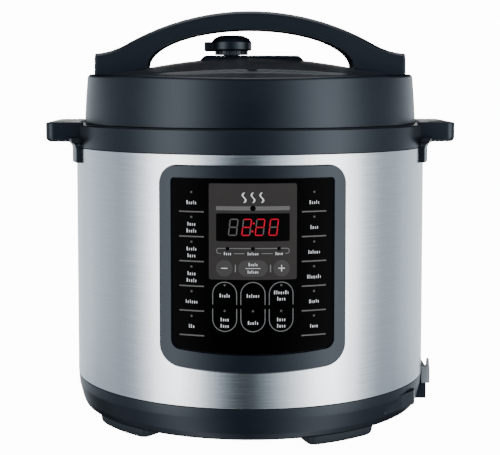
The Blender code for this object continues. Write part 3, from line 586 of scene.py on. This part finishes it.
def make_inlet(finish):
    """The mains inlet's housing, and the see-through clip that stands in front of it."""
    block = solid("inlet_block", box(INLET_X, (-7.5, 31.0), (5.0, 30.4)))
    carve(block, [box((126.5, 139.9), (-11.0, -5.0), (5.5, 17.2))], "UNION")
    pocket = rounded_rectangle(14.3, 9.3, 28.7, 2.5, 5, 14.0)
    bore = stacked([[(x, u, v) for u, v in pocket] for x in (120.0, 145.0)])
    carve(block, [bore])
    edge_rounding(block, 0.9)
    finished(block, finish, "housing", "dark_plastic", ["inlet_housing"])

    clip = [(136.2, -10.4), (142.9, -10.4), (142.9, -1.0), (140.7, -1.0), (140.7, -7.9),
            (136.2, -7.9)]
    holder = solid("spoon_clip", layered([(clip, 17.5), (clip, 30.5)]))
    tip = softened([
        (-10.0, 20.0), (-1.4, 20.0), (-1.4, 32.0, 2.0), (-4.0, 36.8, 3.0), (-7.4, 36.8, 3.0),
        (-10.0, 32.0, 2.0)])
    carve(holder, [stacked([[(x, y, z) for y, z in tip] for x in (141.0, 142.6)])], "UNION")
    edge_rounding(holder, 0.35)
    finished(holder, finish, "holder", "clear_grey", ["spoon_holder"])


# ---------------------------------------------------------------- casing and collar
def make_casing(finish):
    """The brushed steel tube, with a window for the panel."""
    inner = STEEL_R - STEEL_WALL
    profile = softened([
        (STEEL_R, STEEL_Z[1], 0.3), (STEEL_R, STEEL_Z[0], 0.3), (inner, STEEL_Z[0]), (inner, STEEL_Z[1])])
    casing = solid("steel_casing", turned(profile))
    carve(casing, [plate(rounded_rectangle(**WINDOW), [], 125.0, 142.0)])
    finished(casing, finish, "housing", "brushed_steel", ["outer_shell"])


def ear_outline(side, inset):
    """The plan of a carrying ear: an arc inside the collar's wall, then out to round corners."""
    root = [polar(133.5, 90.0 + a)[:2] for a in (19.0, 16.0, 13.0, 9.0, 5.0, 0.0)]
    root += [(x, -y) for x, y in reversed(root[:-1])]
    reach, half_depth = EAR_REACH - inset, EAR_HALF_DEPTH - inset
    corner, steps = EAR_CORNER - inset, 12
    outer = []
    for start, y in ((-90.0, corner - half_depth), (0.0, half_depth - corner)):
        for k in range(steps + 1):
            angle = math.radians(start + 90.0 * k / steps)
            outer.append((reach - corner + corner * math.cos(angle), y + corner * math.sin(angle)))
    return [(side * x, y) for x, y in root + outer]


def make_collar(finish):
    """The plastic ring on the casing, with two ears, their tabs and the rails of the cup."""
    low, top = COLLAR_Z
    profile = softened([
        (COLLAR_R, top - 0.9, 0.6), (COLLAR_R, low, 0.4), (133.8, low), (133.8, 200.0), (131.4, 200.0),
        (131.4, 222.0), (121.2, 222.0), (121.2, 214.0), (119.2, 214.0), (119.2, top, 0.8), (129.8, top)])
    collar = solid("collar_and_ears", turned(profile))
    ears = []
    for side in (-1.0, 1.0):
        layers = []
        bottom, top = EAR_Z
        for k in range(6):
            turn = math.radians(90.0 * k / 5)
            layers.append((ear_outline(side, 3.5 * (1.0 - math.sin(turn))),
                           bottom + 3.5 * (1.0 - math.cos(turn))))
        for k in range(5):
            turn = math.radians(90.0 * k / 4)
            layers.append((ear_outline(side, 1.4 * (1.0 - math.cos(turn))),
                           top - 1.4 * (1.0 - math.sin(turn))))
        ears.append(layered(layers))
        ears.append(ear_tab(side))
    carve(collar, ears, "UNION")
    for side in (-1.0, 1.0):
        rail = sorted((side * 30.3, side * 33.3))
        shape = solid("rail", box(rail, (131.6, 139.0), (186.0, 209.5)))
        clearance = turned([(STEEL_R + 0.4, 207.5), (STEEL_R + 0.4, 180.0), (110.0, 180.0),
                            (110.0, 207.5)])
        carve(shape, [clearance])
        rail_shape = ([tuple(v.co / MM) for v in shape.data.vertices],
                      [list(p.vertices) for p in shape.data.polygons])
        bpy.data.objects.remove(shape)
        carve(collar, [rail_shape], "UNION")
    finished(collar, finish, "housing", "dark_plastic", ["top_collar"])


def ear_tab(side):
    """The plate under an ear, which flares into the ear's underside."""
    straight_to = EAR_Z[0] - TAB_FILLET
    loops = []
    heights = [TAB_BOTTOM_Z, straight_to] + [straight_to + TAB_FILLET * math.sin(math.radians(15.0 * k))
                                             for k in range(1, 6)] + [EAR_Z[0] + 3.0]
    for z in heights:
        rise = max(0.0, min(z - straight_to, TAB_FILLET))
        flare = TAB_FILLET - math.sqrt(TAB_FILLET ** 2 - rise ** 2)
        span = TAB_HALF_SPAN + flare * 0.5
        ring = [90.0 * side + span * (k / 8.0 - 1.0) for k in range(17)]
        loops.append([polar(TAB_R + flare, a, z) for a in ring]
                     + [polar(135.4, a, z) for a in reversed(ring)])
    return stacked(loops)


def make_condensate_cup(finish):
    """A shallow open box that hangs on the rails at the back."""
    (near, far), (low, top) = CUP_Y, CUP_Z

    def outline(inset, corner):
        return rounded_rectangle(CUP_HALF_WIDTH - inset, near + inset, far - inset, corner, 5)

    outer, hollow = outline(0.0, 2.2), outline(CUP_WALL, 1.2)
    cup = solid("drip_cup", layered([(outline(0.8, 1.5), low), (outer, low + 0.8), (outer, top)]))
    carve(cup, [layered([(hollow, low + CUP_WALL), (hollow, top + 5.0)])])
    finished(cup, finish, "cup", "clear_grey", ["condensate_cup"])


# ---------------------------------------------------------------- pots
def lug_share(azimuth, centre, ramp=3.5):
    """1 on a bayonet lug, 0 between lugs."""
    away = abs((azimuth - centre + LUG_PITCH / 2) % LUG_PITCH - LUG_PITCH / 2)
    return eased((LUG_PITCH / 4 - away) / ramp)


def make_pots(finish):
    """The fixed outer pot, whose flange carries the bayonet lugs, and the inner pot that cooks."""
    low, high = OUTER_POT_LUGS
    profile = softened([
        (16.0, 36.0), (116.5, 36.0, 5.5), (116.5, 228.8, 1.0), (low, 228.8, 0.4), (low, 230.8, 0.4),
        (115.2, 230.8, 0.6), (115.2, 37.3, 4.6), (16.0, 37.3)])

    def with_lugs(index, radius, z, azimuth):
        if radius < low - 0.6:
            return radius, z
        return radius + (high - low) * lug_share(azimuth, 0.0), z

    outer = solid("outer_pot_pressing", turned(profile, shape_at=with_lugs))
    finished(outer, finish, "housing", "polished_steel", ["outer_pot"])

    profile = softened([
        (0.0, 50.2), (112.0, 50.2, 9.0), (112.0, 231.3, 1.0), (117.5, 231.3, 0.5), (117.5, 232.5, 0.5),
        (110.6, 232.5, 0.8), (110.6, 51.6, 8.0), (0.0, 51.6)],
                       steps=6)
    inner = solid("inner_pot_pressing", turned(profile))
    finished(inner, finish, "pot", "polished_steel", ["inner_pot"])


def make_steel_lid(finish):
    """The steel lid with its lugs, the sealing ring and the rack that holds the ring."""
    wall, lug = STEEL_LID_LUGS
    profile = softened([
        (0.0, 249.6), (56.0, 247.6, 60.0), (104.0, 241.9, 6.0), (126.4, 241.9, 2.0), (126.4, 226.3),
        (lug, 226.3, 0.4), (lug, 228.0, 0.4), (wall, 228.2), (wall, 240.6, 1.4), (104.0, 240.6, 6.0),
        (56.0, 246.4, 60.0), (0.0, 248.4)])

    def with_lugs(index, radius, z, azimuth):
        if radius > lug + 1.0 or z > 229.0:
            return radius, z
        return wall + (radius - wall) * lug_share(azimuth, LUG_PITCH / 2), z

    lid = solid("steel_lid_pressing", turned(profile, shape_at=with_lugs))
    holes = [rod((VALVE_X, 0.0), 5.5, (240.0, 256.0)), rod((FLOAT_X, 0.0), 3.2, (240.0, 256.0))]
    carve(lid, holes)
    finished(lid, finish, "lid", "polished_steel", ["steel_lid"])

    seal = softened([
        (124.4, 239.9, 0.6), (124.4, 236.2, 0.8), (118.6, 235.2, 0.6), (118.6, 232.8, 0.5),
        (112.2, 232.8, 0.45), (112.2, 233.8, 0.45), (117.4, 234.2, 0.8), (117.4, 236.6, 0.8),
        (112.2, 237.4, 0.6), (112.2, 239.9, 0.6)])
    ring = solid("sealing_ring_moulding", turned(seal))
    finished(ring, finish, "seal", "silicone", ["sealing_ring"])

    rack = softened([
        (111.0, 239.8, 0.9), (111.0, 234.2, 0.5), (109.8, 234.2, 0.5), (109.8, 238.6, 0.5),
        (96.0, 238.6, 0.5), (96.0, 239.8, 0.5)])
    rail = solid("gasket_rack_wire", turned(rack))
    finished(rail, finish, "lid", "polished_steel", ["gasket_rack"])


# ---------------------------------------------------------------- lid
def dome_z(radius):
    return DOME_TOP_Z - DOME_R + math.sqrt(DOME_R ** 2 - radius ** 2)


def recess(x, y):
    """How far the dome is sunk at a place: a step along a shallow arc, fading out to the shoulder."""
    beyond = math.hypot(x, RECESS_ARC_R - RECESS_Y + abs(y)) - RECESS_ARC_R
    outward = eased((118.0 - math.hypot(x, y)) / 22.0)
    sideways = eased((RECESS_HALF_WIDTH - abs(x)) / 22.0)
    return RECESS_DEPTH * eased(beyond / 1.2) * outward * sideways


def make_lid_cover(finish):
    """The plastic cover over the steel lid: a skirt, a rim that rises to the handle, and the dome."""
    radii = [0.0] + [10.0 * k for k in range(1, 8)] + [76.0 + k for k in range(1, 40)]
    outer = [(r, dome_z(r)) for r in radii]
    count = len(outer)
    side = softened([
        outer[-1], (126.9, SHOULDER_Z + 0.3, 3.2), (128.5, 243.0, 40.0), (LID_R, LID_BOTTOM_Z, 0.35),
        (127.1, LID_BOTTOM_Z)], closed=False, steps=8)
    inner = [(126.6, 243.0), (124.6, 256.6), (122.8, 258.0), (106.0, 258.0)]
    inner += [(r, dome_z(r) - LID_WALL) for r in (90.0, 60.0, 30.0, 0.0)]

    def shaped(index, radius, z, azimuth):
        x, y, _ = polar(radius, azimuth)
        towards_handle = eased(abs(x / radius) if radius else 0.0)
        z += RIM_RISE * towards_handle * eased((radius - 84.0) / 34.0) * eased((z - 240.0) / 18.0)
        return radius, z - recess(x, y) if index < count else z

    cover = solid("lid_moulding", turned(outer + side[1:] + inner, 256, shape_at=shaped))
    opening = pod_outline(0.4)
    carve(cover, [layered([(opening, 262.0), (opening, 280.0)])])
    finished(cover, finish, "lid", "dark_plastic", ["lid_cover"], 50.0)


def pod_outline(grow):
    half = (POD_X[1] - POD_X[0]) / 2 + grow
    middle = (POD_X[1] + POD_X[0]) / 2
    depth = POD_HALF_DEPTH + grow
    return rounded_rectangle(half, -depth, depth, 8.0 + grow, 8, middle)


def make_pod(finish):
    """The island in the middle of the dome that carries both valves."""
    layers = [(pod_outline(0.0), 266.0), (pod_outline(0.0), 272.4), (pod_outline(-0.4), 273.4),
              (pod_outline(-3.6), 276.6), (pod_outline(-4.4), 277.1), (pod_outline(-5.4), POD_TOP_Z)]
    pod = solid("pod_moulding", layered(layers))
    holes = [rod((VALVE_X, 0.0), 7.0, (260.0, 280.0)), rod((FLOAT_X, 0.0), 3.4, (260.0, 280.0))]
    carve(pod, holes)
    finished(pod, finish, "lid", "dark_plastic", ["valve_pod"])


def handle_top_z(x):
    """The arch is a circle's arc that sweeps out flat towards its two ends."""
    x = abs(x)
    drop = HANDLE_ARC_R - math.sqrt(HANDLE_ARC_R ** 2 - min(x, HANDLE_BEND_X) ** 2)
    if x <= HANDLE_BEND_X:
        return HANDLE_TOP_Z - drop
    slope = -HANDLE_BEND_X / math.sqrt(HANDLE_ARC_R ** 2 - HANDLE_BEND_X ** 2)
    beyond = x - HANDLE_BEND_X
    return HANDLE_TOP_Z - drop + slope * beyond + HANDLE_SWEEP * beyond ** 2


def arch_opening():
    """The opening under the handle: a half ellipse, wider inside than at its two mouths."""
    loops = []
    for y, wider in ((-25.0, 1.2), (-18.5, 0.0), (-14.0, 3.5), (14.0, 3.5), (18.5, 0.0), (25.0, 1.2)):
        span, rise = ARCH_HALF_SPAN + wider, ARCH_RISE + wider
        arc = [(span * math.cos(math.pi * k / 96), y, ARCH_FOOT_Z + rise * math.sin(math.pi * k / 96))
               for k in range(97)]
        loops.append([(span, y, 250.0)] + arc + [(-span, y, 250.0)])
    return stacked(loops)


def make_handle(finish):
    """The arched handle: a softened section carried along the arch, with round ends."""
    half = [3.0 * k for k in range(40)]
    half += [HANDLE_HALF_LENGTH - gap for gap in (HANDLE_END_R, 1.0, 0.5, 0.2, 0.0)]
    loops = []
    for x in [-x for x in reversed(half[1:])] + half:
        low, high = max(dome_z(abs(x)), SHOULDER_Z) - 1.0, handle_top_z(x)
        to_end = min(HANDLE_HALF_LENGTH - abs(x), HANDLE_END_R)
        pull = HANDLE_END_R - math.sqrt(HANDLE_END_R ** 2 - (HANDLE_END_R - to_end) ** 2)
        high -= 0.4 * pull

        def depth(z):
            return HANDLE_HALF_DEPTH - pull - DRAFT * (z - SHOULDER_Z)

        side = [(depth(low) - 0.6, low, 0.3), (depth(low), low + 0.8, 0.5),
                (depth(high), high - 2.4, 2.0), (depth(high) - 3.2, high, 2.0)]
        section = softened(side + [(-y, z, radius) for y, z, radius in reversed(side)], steps=3)
        loops.append([(x, y, z) for y, z in section])
    handle = solid("handle_moulding", stacked(loops))
    carve(handle, [arch_opening()])
    finished(handle, finish, "lid", "dark_plastic", ["lid_handle"], 38.0)


def make_steam_valve(finish):
    """A chamfered round cap with a nose towards -X, on a ribbed stem that rests on the pipe."""
    centre = (VALVE_X, 0.0)
    profile = softened([
        (0.0, 293.0), (9.2, 293.0, 1.6), (14.0, 290.6, 2.2), (16.0, 287.6, 1.0), (16.0, 282.0, 1.0),
        (15.0, 281.0, 0.5), (12.0, 281.0), (12.0, 277.8), (6.0, 277.8), (6.0, 268.8), (0.0, 268.8)])
    knob = solid("steam_knob_moulding", turned(profile, 96, centre))
    nose_plan = rounded_rectangle(7.2, -4.2, 4.2, 1.4, 4, VALVE_X - 14.2)
    nose_top = rounded_rectangle(6.6, -3.6, 3.6, 1.2, 4, VALVE_X - 14.2)
    nose = layered([(nose_top, 280.6), (nose_plan, 281.2), (nose_plan, 287.4), (nose_top, 288.1)])
    carve(knob, [nose], "UNION")
    ribs = []
    for n in range(16):
        outline = rounded_rectangle(0.9, 11.0, 13.0, 0.5, 3)
        angle = math.tau * n / 16
        turn = [(x * math.cos(angle) - y * math.sin(angle), x * math.sin(angle) + y * math.cos(angle))
                for x, y in outline]
        ribs.append(layered([(turn, 277.8), (turn, 281.6)], centre))
    carve(knob, ribs, "UNION")
    finished(knob, finish, "steam_knob", "black_plastic", ["steam_valve"], look="dark_plastic")

    pin = softened([
        (0.0, 276.8), (2.6, 276.8, 0.8), (2.6, 243.4, 0.5), (5.2, 243.2, 0.4), (5.2, 241.4, 0.4),
        (0.0, 240.9)])
    floater = solid("float_pin_turning", turned(pin, 48, (FLOAT_X, 0.0)))
    finished(floater, finish, "float_pin", "polished_steel", ["float_valve"])


# ---------------------------------------------------------------- control panel
def bezel_outline(share, corner_steps=10, edge_steps=56):
    """Outline of the bezel between its outer edge, at 0, and its inner edge, at 1.

    The lower edge is bowed: it hangs lowest in the middle.
    """
    size = {k: BEZEL_OUTER[k] + (BEZEL_INNER[k] - BEZEL_OUTER[k]) * share for k in BEZEL_OUTER}
    half, low, high = size["half_width"], size["low"], size["high"]
    line = softened([
        (-half, low, size["low_corner"]), (half, low, size["low_corner"]),
        (half, high, size["high_corner"]), (-half, high, size["high_corner"])],
                    steps=corner_steps)
    arcs = [line[n * (corner_steps + 1):(n + 1) * (corner_steps + 1)] for n in range(4)]
    points = []
    for n, arc in enumerate(arcs):
        points += arc
        if n in (0, 2):
            (u, v), end = arc[-1], arcs[n + 1][0][0]
            points += [(u + (end - u) * k / edge_steps, v) for k in range(1, edge_steps)]
    return [(u, v + size["bow"] * (u / half) ** 2 * max(0.0, 1.0 - (v - low) / 40.0)) for u, v in points]


def make_bezel(finish):
    """The frame round the panel and the glossy film inside it."""
    section = softened([
        (0.0, 135.3), (0.0, 136.9, 0.1), (0.09, 138.4, 0.09), (0.97, 138.4, 0.02), (1.0, 137.3),
        (1.0, 136.8), (0.68, 136.8), (0.68, 135.3)], steps=3)
    loops = [[on_panel(u, v, radius) for u, v in bezel_outline(share)] for share, radius in section]
    points = [p for loop in loops for p in loop]
    count, faces = len(loops[0]), []
    for i in range(len(loops)):
        low, high = i * count, (i + 1) % len(loops) * count
        faces += [[low + k, low + (k + 1) % count, high + (k + 1) % count, high + k]
                  for k in range(count)]
    bezel = solid("bezel_moulding", (points, faces))
    finished(bezel, finish, "housing", "dark_plastic", ["panel_bezel"])

    film = solid("key_film", plate(bezel_outline(1.03), [], 136.65, FILM_R))
    finished(film, finish, "housing", "gloss_black", ["panel_film"])


def ink_patch(outline, layer, holes=()):
    """One printed area of the film, on top of the printed layers under it."""
    return plate(outline, list(holes), FILM_R - 0.1, FILM_R + PRINT_STEP * layer)


def bar(u, v, width, height, corner=None):
    corner = height * 0.49 if corner is None else corner
    return rounded_rectangle(width / 2, v - height / 2, v + height / 2, corner, 4, u)


def frame_line(u, v, width, height, corner, line, layer):
    """The outline of a rounded rectangle."""
    outer = rounded_rectangle(width / 2, v - height / 2, v + height / 2, corner, 10, u)
    inner = rounded_rectangle(width / 2 - line, v - height / 2 + line, v + height / 2 - line,
                              corner - line, 10, u)
    return ink_patch(outer, layer, [inner])


def label(u, v, lines, pitch):
    """Lines of words, one under another and centred on v."""
    shapes = []
    for k, letters in enumerate(lines):
        shapes += word(u, v + pitch * ((len(lines) - 1) / 2 - k), letters, 1)
    return shapes


def word(u, v, letters, layer, size=1.0):
    """A row of small blocks that stands in for a label, without any lettering."""
    gap = 0.90 * size
    widths = [(0.85, 0.55, 0.75, 0.45, 0.65)[(n + letters) % 5] * size for n in range(letters)]
    total = sum(widths) + gap * (letters - 1)
    at, shapes = u - total / 2, []
    for n, width in enumerate(widths):
        tall = 2.6 * size if n == 0 or (n + letters) % 4 == 0 else 1.75 * size
        low = v - 0.9 * size
        outline = rounded_rectangle(width / 2, low, low + tall, 0.2 * size, 2, at + width / 2)
        shapes.append(ink_patch(outline, layer))
        at += width + gap
    return shapes


def digit_segment(u, v, letter):
    """One bar of a seven-segment digit, pointed at both ends."""
    x0, y0, x1, y1 = SEGMENT_ENDS[letter]
    half = DIGIT_LINE / 2
    start = Vector(((x0 - 0.5) * DIGIT_WIDTH, (y0 - 1.0) * DIGIT_HEIGHT / 2))
    end = Vector(((x1 - 0.5) * DIGIT_WIDTH, (y1 - 1.0) * DIGIT_HEIGHT / 2))
    along = (end - start).normalized()
    across = Vector((-along.y, along.x)) * half
    start, end = start + along * 0.12, end - along * 0.12
    line = [start, start + along * half - across, end - along * half - across, end,
            end - along * half + across, start + along * half + across]
    return [(u + p.x + p.y * DIGIT_SLANT, v + p.y) for p in line]


def make_print(inks):
    """Everything printed on or shining through the film, as thin raised ink."""
    shapes = {name: [] for name in inks}

    def add(ink, outline, layer):
        shapes[ink].append(ink_patch(outline, layer))

    add("sub_panel", rounded_rectangle(30.3, 121.7, 188.0, 1.5), 1)

    # steam lines in the upper field
    for n in (-1, 0, 1):
        middle = [(n * 6.0 + 1.1 * math.sin(math.tau * k / 12), 174.8 + 7.0 * k / 12)
                  for k in range(13)]
        outline = [(u - 0.55, v) for u, v in middle] + [(u + 0.55, v) for u, v in reversed(middle)]
        add("white", outline, 2)

    add("faint", bar(0.0, 171.0, 50.4, 2.8, 0.5), 2)
    add("black", circle((0.0, 171.0), 1.9), 3)
    add("black", rounded_rectangle(25.2, 148.3, 167.5, 1.1), 2)

    digits = ((-13.4, ""), (-4.3, "abged"), (4.8, "abged"), (14.1, "abcdef"))
    for u, lit in digits:
        for letter in SEGMENT_ENDS:
            ink = "lit" if letter in lit else "unlit"
            add(ink, digit_segment(u, 158.0, letter), 3)
    for u, v in ((0.4, 160.7), (-0.4, 155.2)):
        add("lit", circle((u, v), 0.75, 12), 3)

    # pressure level scale
    shapes["line"].append(frame_line(0.0, 141.6, 50.4, 4.0, 1.95, 0.5, 2))
    for u in (-17.4, 0.0, 17.8):
        add("black", circle((u, 143.2), 1.3, 20), 3)
    for u, width, letters in ((-17.4, 8.4, 4), (0.0, 11.6, 6), (17.8, 8.8, 4)):
        add("sub_panel", bar(u, 139.9, width, 2.4, 0.2), 3)
        shapes["white"] += word(u, 139.5, letters, 4, 0.86)

    # minus, plus and the key between them
    for u in (-19.6, 19.6):
        add("disc", circle((u, 129.6), 5.7, 40), 2)
        add("white", bar(u, 129.6, 4.5, 0.6, 0.2), 3)
    add("white", bar(19.6, 129.6, 0.6, 4.5, 0.2), 4)
    add("disc", rounded_rectangle(10.0, 124.0, 135.3, 5.5), 2)
    add("white", bar(0.0, 129.6, 10.0, 0.35, 0.1), 3)
    shapes["white"] += word(0.0, 132.0, 5, 3, 0.86) + word(0.0, 126.9, 6, 3, 0.86)
    for u in (-12.0, 12.0):
        add("line", bar(u, 129.6, 0.8, 5.2, 0.2), 2)

    # the column of keys at each side
    side_words = (((5,), (4, 5), (5, 4), (4, 5), (6,), (3,)), ((5,), (4,), (6,), (7,), (5,), (4,)))
    for side, rows in zip((-1.0, 1.0), side_words):
        for n, lines in enumerate(rows):
            u, v = side * 42.8, 176.8 - 17.2 * n
            add("unlit", circle((u, v + 4.9), 0.8, 14), 1)
            add("faint", bar(u, v - 8.6, 18.0, 0.9, 0.2), 1)
            shapes["white"] += label(u, v - 2.6, lines, 4.7)

    # six oval keys in three pairs
    oval_words = (((5,), (6,), (7, 4)), ((4, 4), (5,), (4, 4)))
    for (low, high, words) in ((104.3, 120.3, oval_words[0]), (85.5, 101.5, oval_words[1])):
        for u, lines in zip((-19.4, 0.0, 19.4), words):
            shapes["line"].append(half_oval(u, low, high, low > 100.0))
            shapes["white"] += label(u, (low + high) / 2 - 2.0, lines, 4.4)
    for u, v in ((-19.4, 117.9), (19.4, 117.9), (-19.4, 100.0), (0.0, 100.0), (19.4, 100.0)):
        add("unlit", circle((u, v), 0.8, 14), 1)

    for ink, made in shapes.items():
        mark = solid(f"print_{ink}", together(made))
        finished(mark, inks, "housing", "gloss_black", look=ink)


def half_oval(u, low, high, round_top):
    """The line round one half of a split oval key: round at its far end, open at the split."""
    half, line = 8.55, 0.55
    square, way = (low, 1.0) if round_top else (high, -1.0)
    arch = (high if round_top else low) - way * half

    def edge(width):
        arc = [(u - width * math.cos(math.pi * k / 20), arch + way * width * math.sin(math.pi * k / 20))
               for k in range(21)]
        return [(u - width, square)] + arc + [(u + width, square)]

    return ink_patch(edge(half) + edge(half - line)[::-1], 1)


# ---------------------------------------------------------------- the rest of the CAD nodes
def dress_cad_nodes(frame, finish, replaced):
    """Procedural finishes and small edge roundings for the CAD nodes that show as they are."""
    slots = {row["node"]: row["material_slot"] for row in frame["record"]["subparts"]}
    smooth = {"sensor_spring", "mains_lead", "display_module"}
    for name, node in frame["nodes"].items():
        if name in replaced:
            continue
        node.data.materials.clear()
        node.data.materials.append(finish[slots[name]])
        if name not in smooth:
            edge_rounding(node, 0.2, 2)


# ---------------------------------------------------------------- studio
def make_world():
    """A studio: tall soft lights at both front quarters and low behind, dark ahead and beside.

    The camera itself sees an even pale backdrop.
    """
    world = bpy.data.worlds.new("studio")
    bpy.context.scene.world = world
    world.use_nodes = True
    tree = world.node_tree
    place = tree.nodes.new("ShaderNodeTexCoord")
    parts = feed(tree, tree.nodes.new("ShaderNodeSeparateXYZ"), {"Vector": place.outputs["Generated"]})
    height = parts.outputs["Z"]

    def arithmetic(operation, *values):
        node = tree.nodes.new("ShaderNodeMath")
        node.operation = operation
        return feed(tree, node, dict(enumerate(values))).outputs["Value"]

    def faded(source, low, high, at_low, at_high):
        node = tree.nodes.new("ShaderNodeMapRange")
        node.interpolation_type = "SMOOTHSTEP"
        feed(tree, node, {"Value": source, "From Min": low, "From Max": high, "To Min": at_low,
                          "To Max": at_high})
        return node.outputs["Result"]

    def mixed(kind, factor, first, second, blend="MIX"):
        node = tree.nodes.new("ShaderNodeMix")
        node.data_type = kind
        node.blend_type = blend
        return feed(tree, node, {"Factor": factor, "A": first, "B": second}).outputs["Result"]

    towards_front = arithmetic("MULTIPLY", parts.outputs["Y"], -1.0)
    azimuth = arithmetic("DIVIDE", arithmetic("ARCTAN2", parts.outputs["X"], towards_front), math.tau)
    ramp = feed(tree, tree.nodes.new("ShaderNodeValToRGB"), {"Fac": arithmetic("ADD", azimuth, 0.5)})
    ramp.color_ramp.interpolation = "EASE"
    elements = ramp.color_ramp.elements
    elements.remove(elements[1])
    for degrees, _ in WORLD_BANDS[1:]:
        elements.new(0.5 + degrees / 360.0)
    for element, (_, level) in zip(elements, WORLD_BANDS):
        clear = min(1.0, level / CLEAR_LEVEL)
        element.color = (*(level * (tint + (1.0 - tint) * clear) for tint in WORLD_DARK_TINT), 1.0)

    in_front = arithmetic("MULTIPLY", faded(height, 0.10, 0.22, 0.0, 1.0),
                          faded(height, 0.45, 0.75, 1.0, 0.0))
    colour = mixed("RGBA", in_front, ramp.outputs["Color"], (*FRONT_SOFTBOX, 1.0), "LIGHTEN")
    front_fade = faded(height, 0.35, 0.80, 1.0, 0.08)
    rear_fade = arithmetic("MULTIPLY", faded(height, 0.08, 0.17, 1.0, 0.0),
                           faded(height, -0.45, -0.22, 0.05, 1.0))
    rearward = faded(arithmetic("ABSOLUTE", azimuth), 0.27, 0.36, 0.0, 1.0)
    to_rear = arithmetic("MULTIPLY", rearward, arithmetic("SUBTRACT", rear_fade, front_fade))
    overhead = faded(height, 0.85, 0.97, 0.0, 0.10)
    level = arithmetic("ADD", arithmetic("ADD", front_fade, to_rear), overhead)
    level = arithmetic("MULTIPLY", level, faded(height, -0.60, -0.18, 0.50, 1.0))
    level = arithmetic("MULTIPLY", level, WORLD_STRENGTH)

    seen = tree.nodes.new("ShaderNodeLightPath").outputs["Is Camera Ray"]
    feed(tree, tree.nodes["Background"], {"Strength": mixed("FLOAT", seen, level, BACKDROP),
                                          "Color": mixed("RGBA", seen, colour, (1.0, 1.0, 1.0, 1.0))})


def make_studio():
    """The world, the floor, one soft lamp overhead and the camera."""
    make_world()
    pale, tree, shader = new_material("floor")
    greys = two_colours(tree, stretched_noise(tree, 3.0), (0.86, 0.86, 0.86), (0.88, 0.88, 0.88))
    feed(tree, shader, {"Base Color": greys, "Roughness": 0.7, "Specular IOR Level": 0.2,
                        "Emission Color": (1.0, 1.0, 1.0, 1.0), "Emission Strength": FLOOR_GLOW})
    across = (-FLOOR_HALF, FLOOR_HALF)
    floor = solid("floor", box(across, across, FLOOR_Z))
    floor.data.materials.append(pale)
    floor.visible_glossy = False
    floor.visible_diffuse = False

    top = bpy.data.lights.new("top_softbox", "AREA")
    top.shape = "RECTANGLE"
    top.size, top.size_y = LAMP_SIZE
    top.energy = LAMP_POWER
    lamp = bpy.data.objects.new("top_softbox", top)
    lamp.location = LAMP_PLACE
    lamp.rotation_euler = (math.radians(LAMP_TILT), 0.0, 0.0)
    bpy.context.scene.collection.objects.link(lamp)

    lens = bpy.data.cameras.new("camera")
    lens.lens = CAMERA_LENS
    lens.sensor_width = SENSOR_WIDTH
    lens.shift_y = CAMERA_SHIFT_Y
    lens.clip_end = 100.0
    camera = bpy.data.objects.new("camera", lens)
    camera.location = Vector(polar(CAMERA_DISTANCE, CAMERA_AZIMUTH, CAMERA_Z)) * MM
    camera.rotation_euler = (math.radians(90.0 - CAMERA_TILT), 0.0, math.radians(CAMERA_AZIMUTH))
    bpy.context.scene.collection.objects.link(camera)
    bpy.context.scene.camera = camera


def main():
    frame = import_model()
    finish = make_finishes()
    for make in (make_base, make_inlet, make_casing, make_collar, make_condensate_cup, make_pots,
                 make_steel_lid, make_lid_cover, make_pod, make_handle, make_steam_valve, make_bezel):
        make(finish)
    make_print(make_inks())
    replaced = {n for o in bpy.context.scene.objects for n in o.get("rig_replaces", [])}
    dress_cad_nodes(frame, finish, replaced)
    make_studio()


main()
